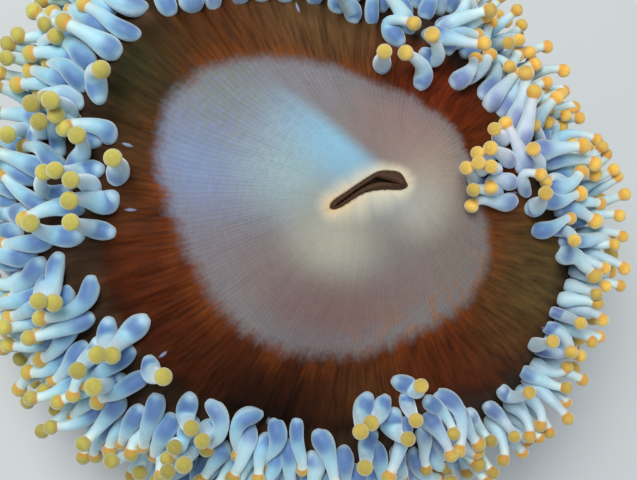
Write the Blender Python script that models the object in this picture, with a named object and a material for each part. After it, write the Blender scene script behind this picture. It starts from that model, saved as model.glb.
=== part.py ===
# Magnificent sea anemone, life size: a foot, a column, a domed oral disc with its mouth,
# and a crown of knobbed tentacles on the drooping margin, divided into sectors.
# Metres, +Z up. The origin is the middle of the foot's flat underside, on the floor.

import math

import bmesh
import bpy
import numpy as np

MM = 0.001
GAP = 0.3 * MM

# Driving dimensions of the body. An outline point is (distance from the axis, height) in millimetres.
DISC_OUTLINE = [(0, 80), (16, 79.5), (32, 78), (46, 74.5), (57, 69.5), (67, 63), (75, 54.5), (79, 45)]
UNDER_OUTLINE = [(79, 45), (77, 38.5), (69, 34), (57, 31), (47, 26), (41.5, 17), (41.5, 8), (44.5, 2.5), (46, 0)]
FOOT_TOP = 7 * MM
COLUMN_TOP = 30 * MM
DISC_EDGE = 48 * MM
SIDES = 40

# The mouth is a bent slit. Its half length fades with distance, so that rings round it turn into circles.
SLIT_HALF = 8.6 * MM
SLIT_FADE = 15 * MM
SLIT_TURN = math.radians(18)
SLIT_BEND = 2.6 * MM
BEND_FADE = 9 * MM
MOUTH_PLACE = (6.8 * MM, 6.3 * MM)
LIP_INNER, LIP_OUTER, LIP_RISE = 0.5 * MM, 2.7 * MM, 1.3 * MM
THROAT_DEPTH = 4.5 * MM

# The margin's waves: (waves round the disc, change of radius, change of height, turn in degrees).
WAVES = [(1, 0, 2.0, -90), (2, 3.5, 0.5, 70), (3, 1.2, 1.5, 40), (5, 1.2, 2.0, 110), (8, 0.9, 1.3, 15)]
# Folds of the margin: (angle in degrees, distance from the axis, rise, spread).
FOLDS = [(20, 57, 8, 11), (64, 58, 5, 10), (-66, 56, 3, 9), (168, 58, 3, 8)]

# Tentacles. A row is (share of the way from the first roots to under the margin, tentacles in a sector).
SECTORS = 10
SPAN = 2 * math.pi / SECTORS
SECTOR_STEPS = 4
ROWS = [(0, 4), (0.31, 4), (0.62, 5), (0.95, 4)]
# Where the tentacles begin: (angle in degrees, distance from the axis).
FIRST_ROOTS = [(-180, 56), (-163, 60), (-130, 59), (-100, 54.5), (-62, 53), (-45, 63), (-15, 64), (5, 53.5)]
FIRST_ROOTS += [(20, 53), (38, 57), (64, 53), (90, 57), (120, 61), (145, 65), (165, 59), (180, 56)]
LAST_ROOTS = 98 * MM
ROOT_STAGGER, ROOT_JITTER = 0.12, 0.08
LENGTH = 18.5 * MM
SIZE_SWING, SIZE_JITTER = 0.12, 0.07
# A tentacle's width: (share of its length, radius). It is sunk into the margin at its root.
ROOT_RADIUS = 2.1
WIDTHS = [(0.27, 3.2), (0.6, 1.9), (0.84, 2.5), (1.0, 1.2)]
ROOT_DEPTH = 2.5 * MM
PATH_POINTS = 10
# Its direction, as shares of the skin's normal and of the way downhill: at the root and at the tip.
ROOT_WAY, TIP_WAY = (0.8, 0.6), (0.5, 0.65)
SWAY_ASIDE, SWAY_UP, CURL = 0.28, 0.18, 0.35
HOOKED_SHARE, HOOK = 0.12, 0.9
# On a fold the tentacles lean away from its middle: how steeply, and how much of the direction that takes.
LEAN_RISE, ROOT_LEAN, TIP_LEAN = 0.45, 0.6, 0.85
# The stretch of a tentacle, as shares of its length, over which it comes clear of the skin.
CLEARING = (0.05, 0.35)
SETTLE_ROUNDS, PUSH_SHARE, HOME_PULL = 80, 0.3, 0.04


def smooth_step(low, high, value):
    """0 below low, 1 above high, and a smooth rise between them."""
    t = np.clip((value - low) / (high - low), 0, 1)
    return t * t * (3 - 2 * t)


def smooth_line(points, count):
    """count points on a Catmull-Rom curve through the given ones, evenly spaced along it."""
    p = np.array(points, float)
    p = np.vstack([2 * p[0] - p[1], p, 2 * p[-1] - p[-2]])
    t = np.linspace(0, 1, 24, endpoint=False)[:, None]
    parts = []
    for a, b, c, d in zip(p[:-3], p[1:-2], p[2:-1], p[3:]):
        parts.append(b + 0.5 * t * (c - a + t * (2 * a - 5 * b + 4 * c - d + t * (3 * (b - c) + d - a))))
    line = np.vstack(parts + [p[-2:-1]])
    along = path_lengths(line)
    at = np.linspace(0, along[-1], count)
    return np.stack([np.interp(at, along, line[:, k]) for k in range(line.shape[1])], axis=1)


def path_lengths(line):
    return np.concatenate([[0], np.cumsum(np.linalg.norm(np.diff(line, axis=0), axis=1))])


def unit(vectors):
    return vectors / np.maximum(np.linalg.norm(vectors, axis=-1, keepdims=True), 1e-12)


OUTLINE = smooth_line(DISC_OUTLINE + UNDER_OUTLINE[1:4], 400) * MM
OUTLINE_LENGTHS = path_lengths(OUTLINE)


def round_points(along, turn):
    """Points of the round body at distances along its outline from the middle, and at angles."""
    r = np.interp(along, OUTLINE_LENGTHS, OUTLINE[:, 0])
    z = np.interp(along, OUTLINE_LENGTHS, OUTLINE[:, 1])
    return np.stack([r * np.cos(turn), r * np.sin(turn), z + 0 * turn], axis=-1)


def fold_weights(x, y):
    """How much a place lies on each fold, from 0 to 1, and the directions away from its middle."""
    weights, away = [], []
    for angle, distance, _, spread in FOLDS:
        turn = math.radians(angle)
        aside = np.stack([x - distance * MM * math.cos(turn), y - distance * MM * math.sin(turn)], axis=-1)
        weights.append(np.exp(-((aside / (spread * MM)) ** 2).sum(axis=-1)))
        away.append(unit(aside))
    return np.array(weights), np.array(away)


def shaped(points):
    """Carries points of the round, even body to the real one: the mouth's slit, the waves and the folds."""
    x, y, z = np.moveaxis(np.array(points, float), -1, 0)
    r = np.hypot(x, y)
    safe = np.maximum(r, 1e-9)
    turn = np.arctan2(y, x)
    middle = smooth_step(40 * MM, 66 * MM, z) * (1 - smooth_step(20 * MM, 47 * MM, r))
    shift = smooth_step(40 * MM, 66 * MM, z) * (1 - smooth_step(6 * MM, 47 * MM, r))
    stretch = middle * SLIT_HALF / (1 + (r / SLIT_FADE) ** 2)
    u = (r + stretch) * np.cos(turn - SLIT_TURN) * (r / safe)
    v = r * np.sin(turn - SLIT_TURN)
    share = np.clip(u / (SLIT_HALF + r), -1, 1)
    bow = (1 - share**2) * (1 + 0.6 * share)
    v = v + middle * SLIT_BEND * bow / (1 + (r / BEND_FADE) ** 2) ** 2
    new_x = u * math.cos(SLIT_TURN) - v * math.sin(SLIT_TURN) + MOUTH_PLACE[0] * shift
    new_y = u * math.sin(SLIT_TURN) + v * math.cos(SLIT_TURN) + MOUTH_PLACE[1] * shift
    upper = smooth_step(30.5 * MM, 46 * MM, z)
    margin = smooth_step(34 * MM, 72 * MM, r) * upper
    out, up = np.zeros_like(r), np.zeros_like(r)
    for waves, radial, rise, phase in WAVES:
        out += radial * MM * np.cos(waves * turn + math.radians(phase))
        up += rise * MM * np.sin(waves * turn + math.radians(phase))
    rises = np.array([rise * MM for _, _, rise, _ in FOLDS])
    fold = np.tensordot(rises, fold_weights(x, y)[0], axes=1)
    grown = 1 + margin * out / safe
    return np.stack([new_x * grown, new_y * grown, z + margin * up + fold * upper], axis=-1)


def material(name, colour, roughness):
    made = bpy.data.materials.new(name)
    made.use_nodes = True
    shader = made.node_tree.nodes["Principled BSDF"]
    shader.inputs["Base Color"].default_value = (*colour, 1)
    shader.inputs["Roughness"].default_value = roughness
    shader.inputs["Metallic"].default_value = 0
    return made


def finished(name, bm, collection, look):
    """Makes the node from its round mesh: moves the mesh to the real shape and links it."""
    bmesh.ops.remove_doubles(bm, verts=bm.verts, dist=1e-6)
    bmesh.ops.recalc_face_normals(bm, faces=bm.faces)
    moved = shaped([v.co for v in bm.verts])
    for vert, place in zip(bm.verts, moved):
        vert.co = place
    bmesh.ops.triangulate(bm, faces=bm.faces)
    mesh = bpy.data.meshes.new(name)
    bm.to_mesh(mesh)
    bm.free()
    mesh.shade_smooth()
    mesh.materials.append(look)
    obj = bpy.data.objects.new(name, mesh)
    collection.objects.link(obj)
    return obj


def turned(name, profile, collection, look):
    """A full turn of an open profile, from axis to axis, or of a closed ring of points off the axis."""
    bm = bmesh.new()
    verts = [bm.verts.new((r, 0, z)) for r, z in profile]
    edges = [bm.edges.new(pair) for pair in zip(verts, verts[1:])]
    if profile[0][0] > 0:
        edges.append(bm.edges.new((verts[-1], verts[0])))
    bmesh.ops.spin(bm, geom=verts + edges, cent=(0, 0, 0), axis=(0, 0, 1), angle=2 * math.pi, steps=SIDES)
    return finished(name, bm, collection, look)


def wedge(name, section, start, angle, collection, look):
    """Part of a turn of a closed section, with both ends capped."""
    bm = bmesh.new()
    verts = [bm.verts.new((r * math.cos(start), r * math.sin(start), z)) for r, z in section]
    face = bm.faces.new(verts)
    cap = face.copy()
    geom = [face, *face.edges, *face.verts]
    bmesh.ops.spin(bm, geom=geom, cent=(0, 0, 0), axis=(0, 0, 1), angle=angle, steps=SECTOR_STEPS)
    if cap.is_valid:
        cap.normal_flip()
    return finished(name, bm, collection, look)


def wall_between(low, high, count):
    """The outer wall of the foot and column between two heights."""
    line = smooth_line(UNDER_OUTLINE, 200)[::-1] * MM
    heights = np.linspace(low, high, count)
    return [(float(np.interp(h, line[:, 1], line[:, 0])), float(h)) for h in heights]


def disc_height(r):
    return float(np.interp(r, OUTLINE[:200, 0], OUTLINE[:200, 1]))


def make_foot(collection, look):
    return turned("foot", [(0, 0), *wall_between(0, FOOT_TOP, 4), (0, FOOT_TOP)], collection, look)


def make_column(collection, look):
    low = FOOT_TOP + GAP
    return turned("column", [(0, low), *wall_between(low, COLUMN_TOP, 7), (0, COLUMN_TOP)], collection, look)


def make_disc(collection, look):
    """The bare middle of the disc, with a pit for the mouth."""
    pit = LIP_OUTER + GAP
    floor = disc_height(pit) - THROAT_DEPTH
    radii = [pit, 5 * MM, 9 * MM, 15 * MM, 23 * MM, 31 * MM, 39 * MM, DISC_EDGE]
    profile = [(0, floor), (pit, floor), *[(r, disc_height(r)) for r in radii]]
    profile += [(DISC_EDGE, 52 * MM), (DISC_EDGE, COLUMN_TOP + GAP), (0, COLUMN_TOP + GAP)]
    return turned("oral_disc", profile, collection, look)


def make_lips(collection, look):
    """Two thick lips that meet round the slit, a ring with the slit open in its middle."""
    top = disc_height(LIP_OUTER)
    low = top - THROAT_DEPTH + GAP
    middle = (LIP_INNER + LIP_OUTER) / 2
    ring = [(LIP_INNER, low), (LIP_OUTER, low), (LIP_OUTER, top)]
    ring += [(LIP_OUTER - 0.3 * MM, top + 0.7 * LIP_RISE), (middle, top + LIP_RISE)]
    ring += [(LIP_INNER + 0.2 * MM, top + 0.5 * LIP_RISE), (LIP_INNER, top - 0.4 * MM)]
    return turned("lips", ring, collection, look)


def margin_section():
    """The margin's cross-section, from the disc's edge out and back under to the column."""
    inner = DISC_EDGE + GAP
    low = COLUMN_TOP + GAP
    first = float(np.interp(inner, OUTLINE[:200, 0], OUTLINE_LENGTHS[:200]))
    rim = round_points(np.linspace(first, OUTLINE_LENGTHS[-1], 11)[1:], np.zeros(10))
    section = [(inner, low), (inner, 52 * MM), (inner, disc_height(inner))]
    return section + [(float(p[0]), float(p[2])) for p in rim] + [(50.5 * MM, low)]


def first_root(turn):
    """The distance along the outline at which the tentacles begin, at angles."""
    degrees = np.degrees(np.arctan2(np.sin(turn), np.cos(turn)))
    angles, distances = np.array(FIRST_ROOTS).T
    widest = np.argmax(OUTLINE[:, 0])
    return np.interp(np.interp(degrees, angles, distances) * MM, OUTLINE[:widest, 0], OUTLINE_LENGTHS[:widest])


def tentacle_roots(number, rng):
    """Where the tentacles of a sector stand: along the outline and angle, in staggered rows."""
    along, turn = [], []
    for row, (share, count) in enumerate(ROWS):
        shift = 0.5 + ROOT_STAGGER * (-1) ** (row + 1)
        place = (np.arange(count) + shift + rng.uniform(-ROOT_JITTER, ROOT_JITTER, count)) / count
        angle = (number + place) * SPAN
        first = first_root(angle)
        turn.append(angle)
        along.append(first + share * (LAST_ROOTS - first) + rng.uniform(-0.8, 0.8, count) * MM)
    return np.concatenate(along), np.concatenate(turn)


def surface_at(along, turn):
    """Places on the real body with their outward normals and their downhill directions."""
    place = shaped(round_points(along, turn))
    downhill = unit(shaped(round_points(along + 0.4 * MM, turn)) - shaped(round_points(along - 0.4 * MM, turn)))
    round_way = unit(shaped(round_points(along, turn + 0.01)) - shaped(round_points(along, turn - 0.01)))
    return place, unit(np.cross(downhill, round_way)), downhill


def rest_paths(along, turn, rng):
    """The tentacles' middle lines as they would lie alone: out from the skin, then bending over."""
    place, normal, downhill = surface_at(along, turn)
    count = len(along)
    low = round_points(along, turn)
    weights, away = fold_weights(low[:, 0], low[:, 1])
    aside = np.cross(normal, downhill)
    size = 1 - SIZE_SWING * np.cos(turn) + rng.uniform(-SIZE_JITTER, SIZE_JITTER, count)
    first = ROOT_WAY[0] * normal + ROOT_WAY[1] * downhill
    last = TIP_WAY[0] * normal + TIP_WAY[1] * downhill + aside * rng.normal(0, SWAY_ASIDE, count)[:, None]
    last = last + normal * rng.normal(0, SWAY_UP, count)[:, None]
    share = np.clip(weights * 1.2 - 0.2, 0, 1)[..., None]
    lean = np.concatenate([away, np.full(share.shape, LEAN_RISE)], axis=-1) * share
    first = first * (1 - ROOT_LEAN * share.sum(axis=0)) + ROOT_LEAN * lean.sum(axis=0)
    last = last * (1 - TIP_LEAN * share.sum(axis=0)) + TIP_LEAN * lean.sum(axis=0)
    curl = rng.normal(0, CURL, count) + HOOK * (rng.random(count) < HOOKED_SHARE)
    bend = unit(np.cross(last, aside)) * curl[:, None]
    step = (LENGTH * size / (PATH_POINTS - 1))[:, None]
    points = [place]
    for t in (np.arange(PATH_POINTS - 1) + 0.5) / (PATH_POINTS - 1):
        way = unit(first) + (unit(last) - unit(first)) * smooth_step(0.05, 0.75, t)
        points.append(points[-1] + step * unit(way + bend * smooth_step(0.5, 1.0, t)))
    return np.stack(points, axis=1), normal, size


def width_at(t):
    """A tentacle's radius at shares of its length."""
    shares, radii = np.array([(0, ROOT_RADIUS), *WIDTHS]).T
    return np.interp(t, shares, radii) * MM


def settled(paths, size, number):
    """Moves tentacles that press on each other, on the body or on the sector's borders apart."""
    count, steps = paths.shape[:2]
    t = np.linspace(0, 1, steps)
    radius = (width_at(t) * size[:, None]).ravel()
    owner = np.repeat(np.arange(count), steps)
    other = owner[:, None] != owner
    need = radius[:, None] + radius + 2 * GAP
    clear = radius + 1.5 * GAP
    risen = smooth_step(*CLEARING, np.tile(t, count))
    along, turn = np.meshgrid(np.linspace(30, 110, 40) * MM, (number + np.linspace(-0.6, 1.6, 24)) * SPAN)
    skin, skin_normal, _ = surface_at(along.ravel(), turn.ravel())
    home = paths.copy()
    segment = np.linalg.norm(np.diff(paths, axis=1), axis=2)
    free = smooth_step(0, CLEARING[1], t)[:, None]
    for _ in range(SETTLE_ROUNDS):
        flat = paths.reshape(-1, 3)
        apart = flat[:, None] - flat
        distance = np.linalg.norm(apart, axis=2) + 1e-9
        push = np.clip(need - distance, 0, None) * other / distance
        move = PUSH_SHARE * (apart * push[..., None]).sum(axis=1)
        nearest = np.argmin(((flat[:, None] - skin) ** 2).sum(axis=2), axis=1)
        height = ((flat - skin[nearest]) * skin_normal[nearest]).sum(axis=1)
        over_disc = np.hypot(flat[:, 0], flat[:, 1]) < DISC_EDGE + clear
        lift = np.clip(clear * np.where(over_disc, 1, risen) - height, 0, None)
        move += skin_normal[nearest] * lift[:, None]
        paths = paths + move.reshape(paths.shape) * free
        paths = kept_in_sector(paths + HOME_PULL * (home - paths), radius, number)
        for k in range(1, steps):
            paths[:, k] = paths[:, k - 1] + unit(paths[:, k] - paths[:, k - 1]) * segment[:, k - 1 : k]
    return kept_in_sector(paths, radius, number)


def kept_in_sector(paths, radius, number):
    """Moves points inside the sector's two border planes, by their tentacle's radius and the gap."""
    for border, side in [(number, 1), (number + 1, -1)]:
        inward = np.array([-math.sin(border * SPAN), math.cos(border * SPAN), 0]) * side
        short = radius.reshape(paths.shape[:2]) + 0.8 * GAP - paths @ inward
        paths = paths + np.clip(short, 0, None)[..., None] * inward
    return paths


def applied(obj):
    """The object's mesh with its curve or modifiers worked out."""
    bpy.context.view_layer.update()
    return bpy.data.meshes.new_from_object(obj.evaluated_get(bpy.context.evaluated_depsgraph_get()))


def tentacle_object(path, normal, size, collection):
    """One closed tentacle, a tube of varying width along its path, from inside the margin to its blunt tip."""
    curve = bpy.data.curves.new("tentacle", "CURVE")
    curve.dimensions = "3D"
    curve.bevel_depth = MM
    curve.bevel_resolution = 1
    curve.use_fill_caps = True
    shares, radii = np.array([(0, ROOT_RADIUS), *WIDTHS]).T
    places = np.stack([np.interp(shares, np.linspace(0, 1, len(path)), axis) for axis in path.T], axis=1)
    places[0] -= normal * ROOT_DEPTH
    spline = curve.splines.new("POLY")
    spline.points.add(len(places) - 1)
    for point, place, radius in zip(spline.points, places, radii):
        point.co = (*place, 1)
        point.radius = radius * size
    tube = bpy.data.objects.new("tube", curve)
    collection.objects.link(tube)
    mesh = applied(tube)
    bpy.data.objects.remove(tube)
    bm = bmesh.new()
    bm.from_mesh(mesh)
    bmesh.ops.remove_doubles(bm, verts=bm.verts, dist=1e-6)
    bmesh.ops.recalc_face_normals(bm, faces=bm.faces)
    bmesh.ops.triangulate(bm, faces=bm.faces)
    bm.to_mesh(mesh)
    bm.free()
    collection.objects.link(bpy.data.objects.new("tentacle", mesh))


def fused(obj, pieces):
    """Joins the pieces to the object in one union and keeps its largest closed surface."""
    modifier = obj.modifiers.new("union", "BOOLEAN")
    modifier.operation = "UNION"
    modifier.operand_type = "COLLECTION"
    modifier.collection = pieces
    modifier.solver = "EXACT"
    joined = applied(obj)
    obj.modifiers.clear()
    for piece in list(pieces.objects):
        bpy.data.objects.remove(piece)
    bm = bmesh.new()
    bm.from_mesh(joined)
    bmesh.ops.triangulate(bm, faces=bm.faces)
    shells = closed_shells(bm)
    largest = max(shells, key=len)
    spare = [v for shell in shells if shell is not largest for v in shell]
    bmesh.ops.delete(bm, geom=spare, context="VERTS")
    bm.to_mesh(obj.data)
    bm.free()
    obj.data.shade_smooth()


def closed_shells(bm):
    """The mesh's vertices, grouped by the connected surface that they belong to."""
    seen, shells = set(), []
    for start in bm.verts:
        if start in seen:
            continue
        shell, waiting = [], [start]
        seen.add(start)
        while waiting:
            vert = waiting.pop()
            shell.append(vert)
            for edge in vert.link_edges:
                near = edge.other_vert(vert)
                if near not in seen:
                    seen.add(near)
                    waiting.append(near)
        shells.append(shell)
    return shells


def make_crown(number, collection, look):
    """A sector of the margin with its tentacles fused on."""
    play = GAP / 2 / DISC_EDGE
    name = f"crown_{number + 1:02d}"
    crown = wedge(name, margin_section(), number * SPAN + play, SPAN - 2 * play, collection, look)
    rng = np.random.default_rng(20 + number)
    paths, normals, sizes = rest_paths(*tentacle_roots(number, rng), rng)
    paths = settled(paths, sizes, number)
    pieces = bpy.data.collections.new("tentacles")
    bpy.context.scene.collection.children.link(pieces)
    for path, normal, size in zip(paths, normals, sizes):
        tentacle_object(path, normal, size, pieces)
    fused(crown, pieces)
    bpy.data.collections.remove(pieces)


def main():
    for obj in list(bpy.data.objects):
        bpy.data.objects.remove(obj)
    collection = bpy.data.collections.new("sea_anemone")
    bpy.context.scene.collection.children.link(collection)
    column_look = material("column_skin", (0.36, 0.16, 0.15), 0.5)
    disc_look = material("disc_skin", (0.42, 0.38, 0.45), 0.45)
    lip_look = material("lip_skin", (0.09, 0.04, 0.03), 0.5)
    crown_look = material("tentacle_skin", (0.55, 0.6, 0.85), 0.4)
    make_foot(collection, column_look)
    make_column(collection, column_look)
    make_disc(collection, disc_look)
    make_lips(collection, lip_look)
    for number in range(SECTORS):
        make_crown(number, collection, crown_look)


main()
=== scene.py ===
# %% [markdown]
# # A magnificent sea anemone, life size
#
# This lesson dresses a imported CAD model of a sea anemone: a flat foot, a short column, a wide domed
# disc with a slit mouth, and a drooping margin crowded with tentacles. The solids give the size and
# the place of everything. Here they get one living skin, two dark lips, and several hundred soft
# tentacles, each with a swollen base, a thin neck and a golden ball for a tip.
#
# We start from the frame. Nothing may grow far out of it.

# %% The imported frame
import math

import bpy
import numpy as np
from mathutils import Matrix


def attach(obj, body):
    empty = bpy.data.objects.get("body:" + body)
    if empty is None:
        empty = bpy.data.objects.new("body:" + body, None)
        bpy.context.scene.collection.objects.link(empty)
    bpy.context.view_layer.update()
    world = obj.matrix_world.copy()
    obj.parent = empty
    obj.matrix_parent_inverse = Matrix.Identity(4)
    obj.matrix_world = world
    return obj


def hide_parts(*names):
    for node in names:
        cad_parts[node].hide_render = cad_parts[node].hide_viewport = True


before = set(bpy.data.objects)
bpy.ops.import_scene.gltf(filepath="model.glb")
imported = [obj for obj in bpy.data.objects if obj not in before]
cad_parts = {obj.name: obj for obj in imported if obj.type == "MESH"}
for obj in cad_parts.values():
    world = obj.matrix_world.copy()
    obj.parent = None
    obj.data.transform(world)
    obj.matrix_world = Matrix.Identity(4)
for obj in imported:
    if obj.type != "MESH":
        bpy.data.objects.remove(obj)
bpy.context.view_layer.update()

MM = 0.001
print("nodes", sorted(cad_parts))

# %% [markdown]
# ## The body's measures
#
# The body is drawn first as a round, even thing: one outline from the mouth down to the sole, in
# millimetres from the axis and above the floor. These numbers repeat the CAD source, since the two
# must agree to a hair's breadth. Waves and folds then carry the even body to the real, uneven one.

# %% Measures of the body
DISC_OUTLINE = [(0, 80), (16, 79.5), (32, 78), (46, 74.5), (57, 69.5), (67, 63), (75, 54.5), (79, 45)]
UNDER_OUTLINE = [(77, 38.5), (69, 34), (57, 31), (47, 26), (41.5, 17), (41.5, 8), (44.5, 2.5), (46, 0)]
# Waves of the margin: (waves round the disc, change of radius, change of height, turn in degrees).
WAVES = [(1, 0, 2.0, -90), (2, 3.5, 0.5, 70), (3, 1.2, 1.5, 40), (5, 1.2, 2.0, 110), (8, 0.9, 1.3, 15)]
# Folds of the margin: (angle in degrees, distance from the axis, rise, spread).
FOLDS = [(20, 57, 8, 11), (64, 58, 5, 10), (-66, 56, 3, 9), (168, 58, 3, 8)]
SLIT_HALF, SLIT_FADE = 8.6 * MM, 15 * MM
SLIT_TURN = math.radians(18)
SLIT_BEND, BEND_FADE = 2.6 * MM, 9 * MM
MOUTH_PLACE = (6.8 * MM, 6.3 * MM)
print(len(DISC_OUTLINE + UNDER_OUTLINE), "outline points,", len(WAVES), "waves and", len(FOLDS), "folds")


# %% Helpers for numbers and lines
def smooth_step(low, high, value):
    """0 below low, 1 above high, and 3t^2 - 2t^3 between them."""
    t = np.clip((value - low) / (high - low), 0, 1)
    return t * t * (3 - 2 * t)


def unit(vectors):
    """Each vector divided by its own length."""
    return vectors / np.maximum(np.linalg.norm(vectors, axis=-1, keepdims=True), 1e-12)


def path_lengths(line):
    """The length walked along a line from its first point to each of its points."""
    return np.concatenate([[0], np.cumsum(np.linalg.norm(np.diff(line, axis=0), axis=1))])


def evenly(line, count):
    """count points at equal steps of the length walked along a line."""
    lengths = path_lengths(line)
    at = np.linspace(0, lengths[-1], count)
    return np.stack([np.interp(at, lengths, line[:, k]) for k in range(line.shape[1])], axis=1)


def smooth_line(points, count):
    """count points, evenly spaced, on a Catmull-Rom curve: a cubic that passes through every given point."""
    p = np.array(points, float)
    p = np.vstack([2 * p[0] - p[1], p, 2 * p[-1] - p[-2]])
    t = np.linspace(0, 1, 24, endpoint=False)[:, None]
    parts = []
    for a, b, c, d in zip(p[:-3], p[1:-2], p[2:-1], p[3:]):
        parts.append(b + 0.5 * t * (c - a + t * (2 * a - 5 * b + 4 * c - d + t * (3 * (b - c) + d - a))))
    return evenly(np.vstack(parts + [p[-2:-1]]), count)


OUTLINE = smooth_line(DISC_OUTLINE + UNDER_OUTLINE, 700) * MM
OUTLINE_LENGTHS = path_lengths(OUTLINE)
WIDEST = int(np.argmax(OUTLINE[:, 0]))
print(f"the outline is {OUTLINE_LENGTHS[-1] / MM:.1f} mm long")
print(f"it is widest {OUTLINE_LENGTHS[WIDEST] / MM:.1f} mm along it")


# %% [markdown]
# ## From the round body to the real one
#
# A real anemone is never round. Its mouth is a bent slit, its margin droops in waves, and in places
# it is pushed up into folds. It would be hard to draw all that directly, so every piece is worked
# out on the round body, as a distance along the outline and an angle, and one function moves its
# points. Skin, lips and tentacle roots stay together because they all pass through it.

# %% The round body
STEP_ALONG, STEP_ROUND = 0.4 * MM, 0.01


def round_points(along, turn):
    """Points of the round body: the outline's radius and height at a distance, turned by an angle."""
    r = np.interp(along, OUTLINE_LENGTHS, OUTLINE[:, 0])
    z = np.interp(along, OUTLINE_LENGTHS, OUTLINE[:, 1])
    return np.stack([r * np.cos(turn), r * np.sin(turn), z + 0 * turn], axis=-1)


def fold_weights(x, y):
    """exp(-(d / spread)^2), with d the distance to a fold's middle, and the directions away from it."""
    weights, away = [], []
    for angle, distance, _, spread in FOLDS:
        turn = math.radians(angle)
        aside = np.stack([x - distance * MM * math.cos(turn), y - distance * MM * math.sin(turn)], axis=-1)
        weights.append(np.exp(-((aside / (spread * MM)) ** 2).sum(axis=-1)))
        away.append(unit(aside))
    return np.array(weights), np.array(away)


print("folds rise by", [rise for _, _, rise, _ in FOLDS], "mm")


# %% The common shape
# Heights and radii between which something fades in or out: the mouth's slit and place at the top, the
# waves on the upper side, and the waves towards the margin.
HIGH_ZONE, SLIT_ZONE, PLACE_ZONE = (40 * MM, 66 * MM), (20 * MM, 47 * MM), (6 * MM, 47 * MM)
UPPER_ZONE, MARGIN_ZONE = (30.5 * MM, 46 * MM), (34 * MM, 72 * MM)
BOW_SKEW = 0.6


def shaped(points):
    """Moves points of the round body to the real one.

    Near the middle, x grows by a half slit that fades with distance, and y by a bow along the slit.
    Towards the margin, radius and height swing as sums of sines of the angle, and folds rise as bells."""
    x, y, z = np.moveaxis(np.array(points, float), -1, 0)
    r = np.hypot(x, y)
    safe = np.maximum(r, 1e-9)
    turn = np.arctan2(y, x)
    middle = smooth_step(*HIGH_ZONE, z) * (1 - smooth_step(*SLIT_ZONE, r))
    shift = smooth_step(*HIGH_ZONE, z) * (1 - smooth_step(*PLACE_ZONE, r))
    stretch = middle * SLIT_HALF / (1 + (r / SLIT_FADE) ** 2)
    u = (r + stretch) * np.cos(turn - SLIT_TURN) * (r / safe)
    v = r * np.sin(turn - SLIT_TURN)
    share = np.clip(u / (SLIT_HALF + r), -1, 1)
    bow = (1 - share**2) * (1 + BOW_SKEW * share)
    v = v + middle * SLIT_BEND * bow / (1 + (r / BEND_FADE) ** 2) ** 2
    new_x = u * math.cos(SLIT_TURN) - v * math.sin(SLIT_TURN) + MOUTH_PLACE[0] * shift
    new_y = u * math.sin(SLIT_TURN) + v * math.cos(SLIT_TURN) + MOUTH_PLACE[1] * shift
    upper = smooth_step(*UPPER_ZONE, z)
    margin = smooth_step(*MARGIN_ZONE, r) * upper
    out, up = np.zeros_like(r), np.zeros_like(r)
    for waves, radial, rise, phase in WAVES:
        out += radial * MM * np.cos(waves * turn + math.radians(phase))
        up += rise * MM * np.sin(waves * turn + math.radians(phase))
    rises = np.array([rise * MM for _, _, rise, _ in FOLDS])
    fold = np.tensordot(rises, fold_weights(x, y)[0], axes=1)
    grown = 1 + margin * out / safe
    return np.stack([new_x * grown, new_y * grown, z + margin * up + fold * upper], axis=-1)


def surface_at(along, turn):
    """Places on the real body, their outward normals and downhill directions, by central differences."""
    place = shaped(round_points(along, turn))
    above, below = [shaped(round_points(along + step, turn)) for step in (-STEP_ALONG, STEP_ALONG)]
    before, after = [shaped(round_points(along, turn + step)) for step in (-STEP_ROUND, STEP_ROUND)]
    downhill = unit(below - above)
    return place, unit(np.cross(downhill, unit(after - before))), downhill


disc_middle = shaped(round_points(np.zeros(1), np.zeros(1)))[0]
print("the disc's middle lies at", np.round(disc_middle / MM, 1), "mm")


# %% [markdown]
# ## Where the colours and the tentacles begin
#
# Two uneven rings lie on the disc. At the inner one the pale grey middle turns brown, and at the
# outer one the tentacles begin. Each is kept as a list of angles and distances from the axis, and
# everything between two of them is read off by linear interpolation.

# %% Two rings on the disc
GREY_EDGE = [(-177, 40.6), (-155, 38.5), (-127, 37.7), (-96, 35.6), (-63, 35.6), (-46, 37.7), (-31, 41.3)]
GREY_EDGE += [(-14, 42.7), (-4, 40.6), (16, 37), (28, 38.5), (39, 39.9), (51, 36.3), (79, 34.9), (95, 39.2)]
GREY_EDGE += [(107, 42.7), (119, 45.5), (129, 48.2), (140, 50.2), (148, 50.9), (161, 48.9), (171, 44.1)]
FIRST_ROOTS = [(-163, 60), (-130, 59), (-100, 54.5), (-62, 53), (-45, 64), (-25, 69), (-10, 68), (3, 57)]
FIRST_ROOTS += [(12, 53), (20, 53), (38, 57), (64, 53), (90, 57), (120, 61), (145, 65), (165, 59), (180, 56)]
LAST_ROOTS = 98 * MM


def ring_at(ring, turn):
    """An uneven ring's distance along the outline: its radius, read off between two listed angles, and then
    the length at which the outline has that radius."""
    angles, distances = np.array(sorted(ring), float).T
    radius = np.interp(np.degrees(turn), angles, distances, period=360) * MM
    return np.interp(radius, OUTLINE[:WIDEST, 0], OUTLINE_LENGTHS[:WIDEST])


SAMPLE_TURNS = np.radians([-150, -60, 20, 140])
print("tentacles begin", np.round(ring_at(FIRST_ROOTS, SAMPLE_TURNS) / MM, 1), "mm along the outline")

# %% [markdown]
# ## The camera's numbers
#
# The photograph looks down steeply from a quarter of a metre away, so that the near side of the
# crown runs out of the picture. The camera is made at the end, but its numbers are needed now,
# because some tentacles are placed where the photograph shows them.

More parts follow.
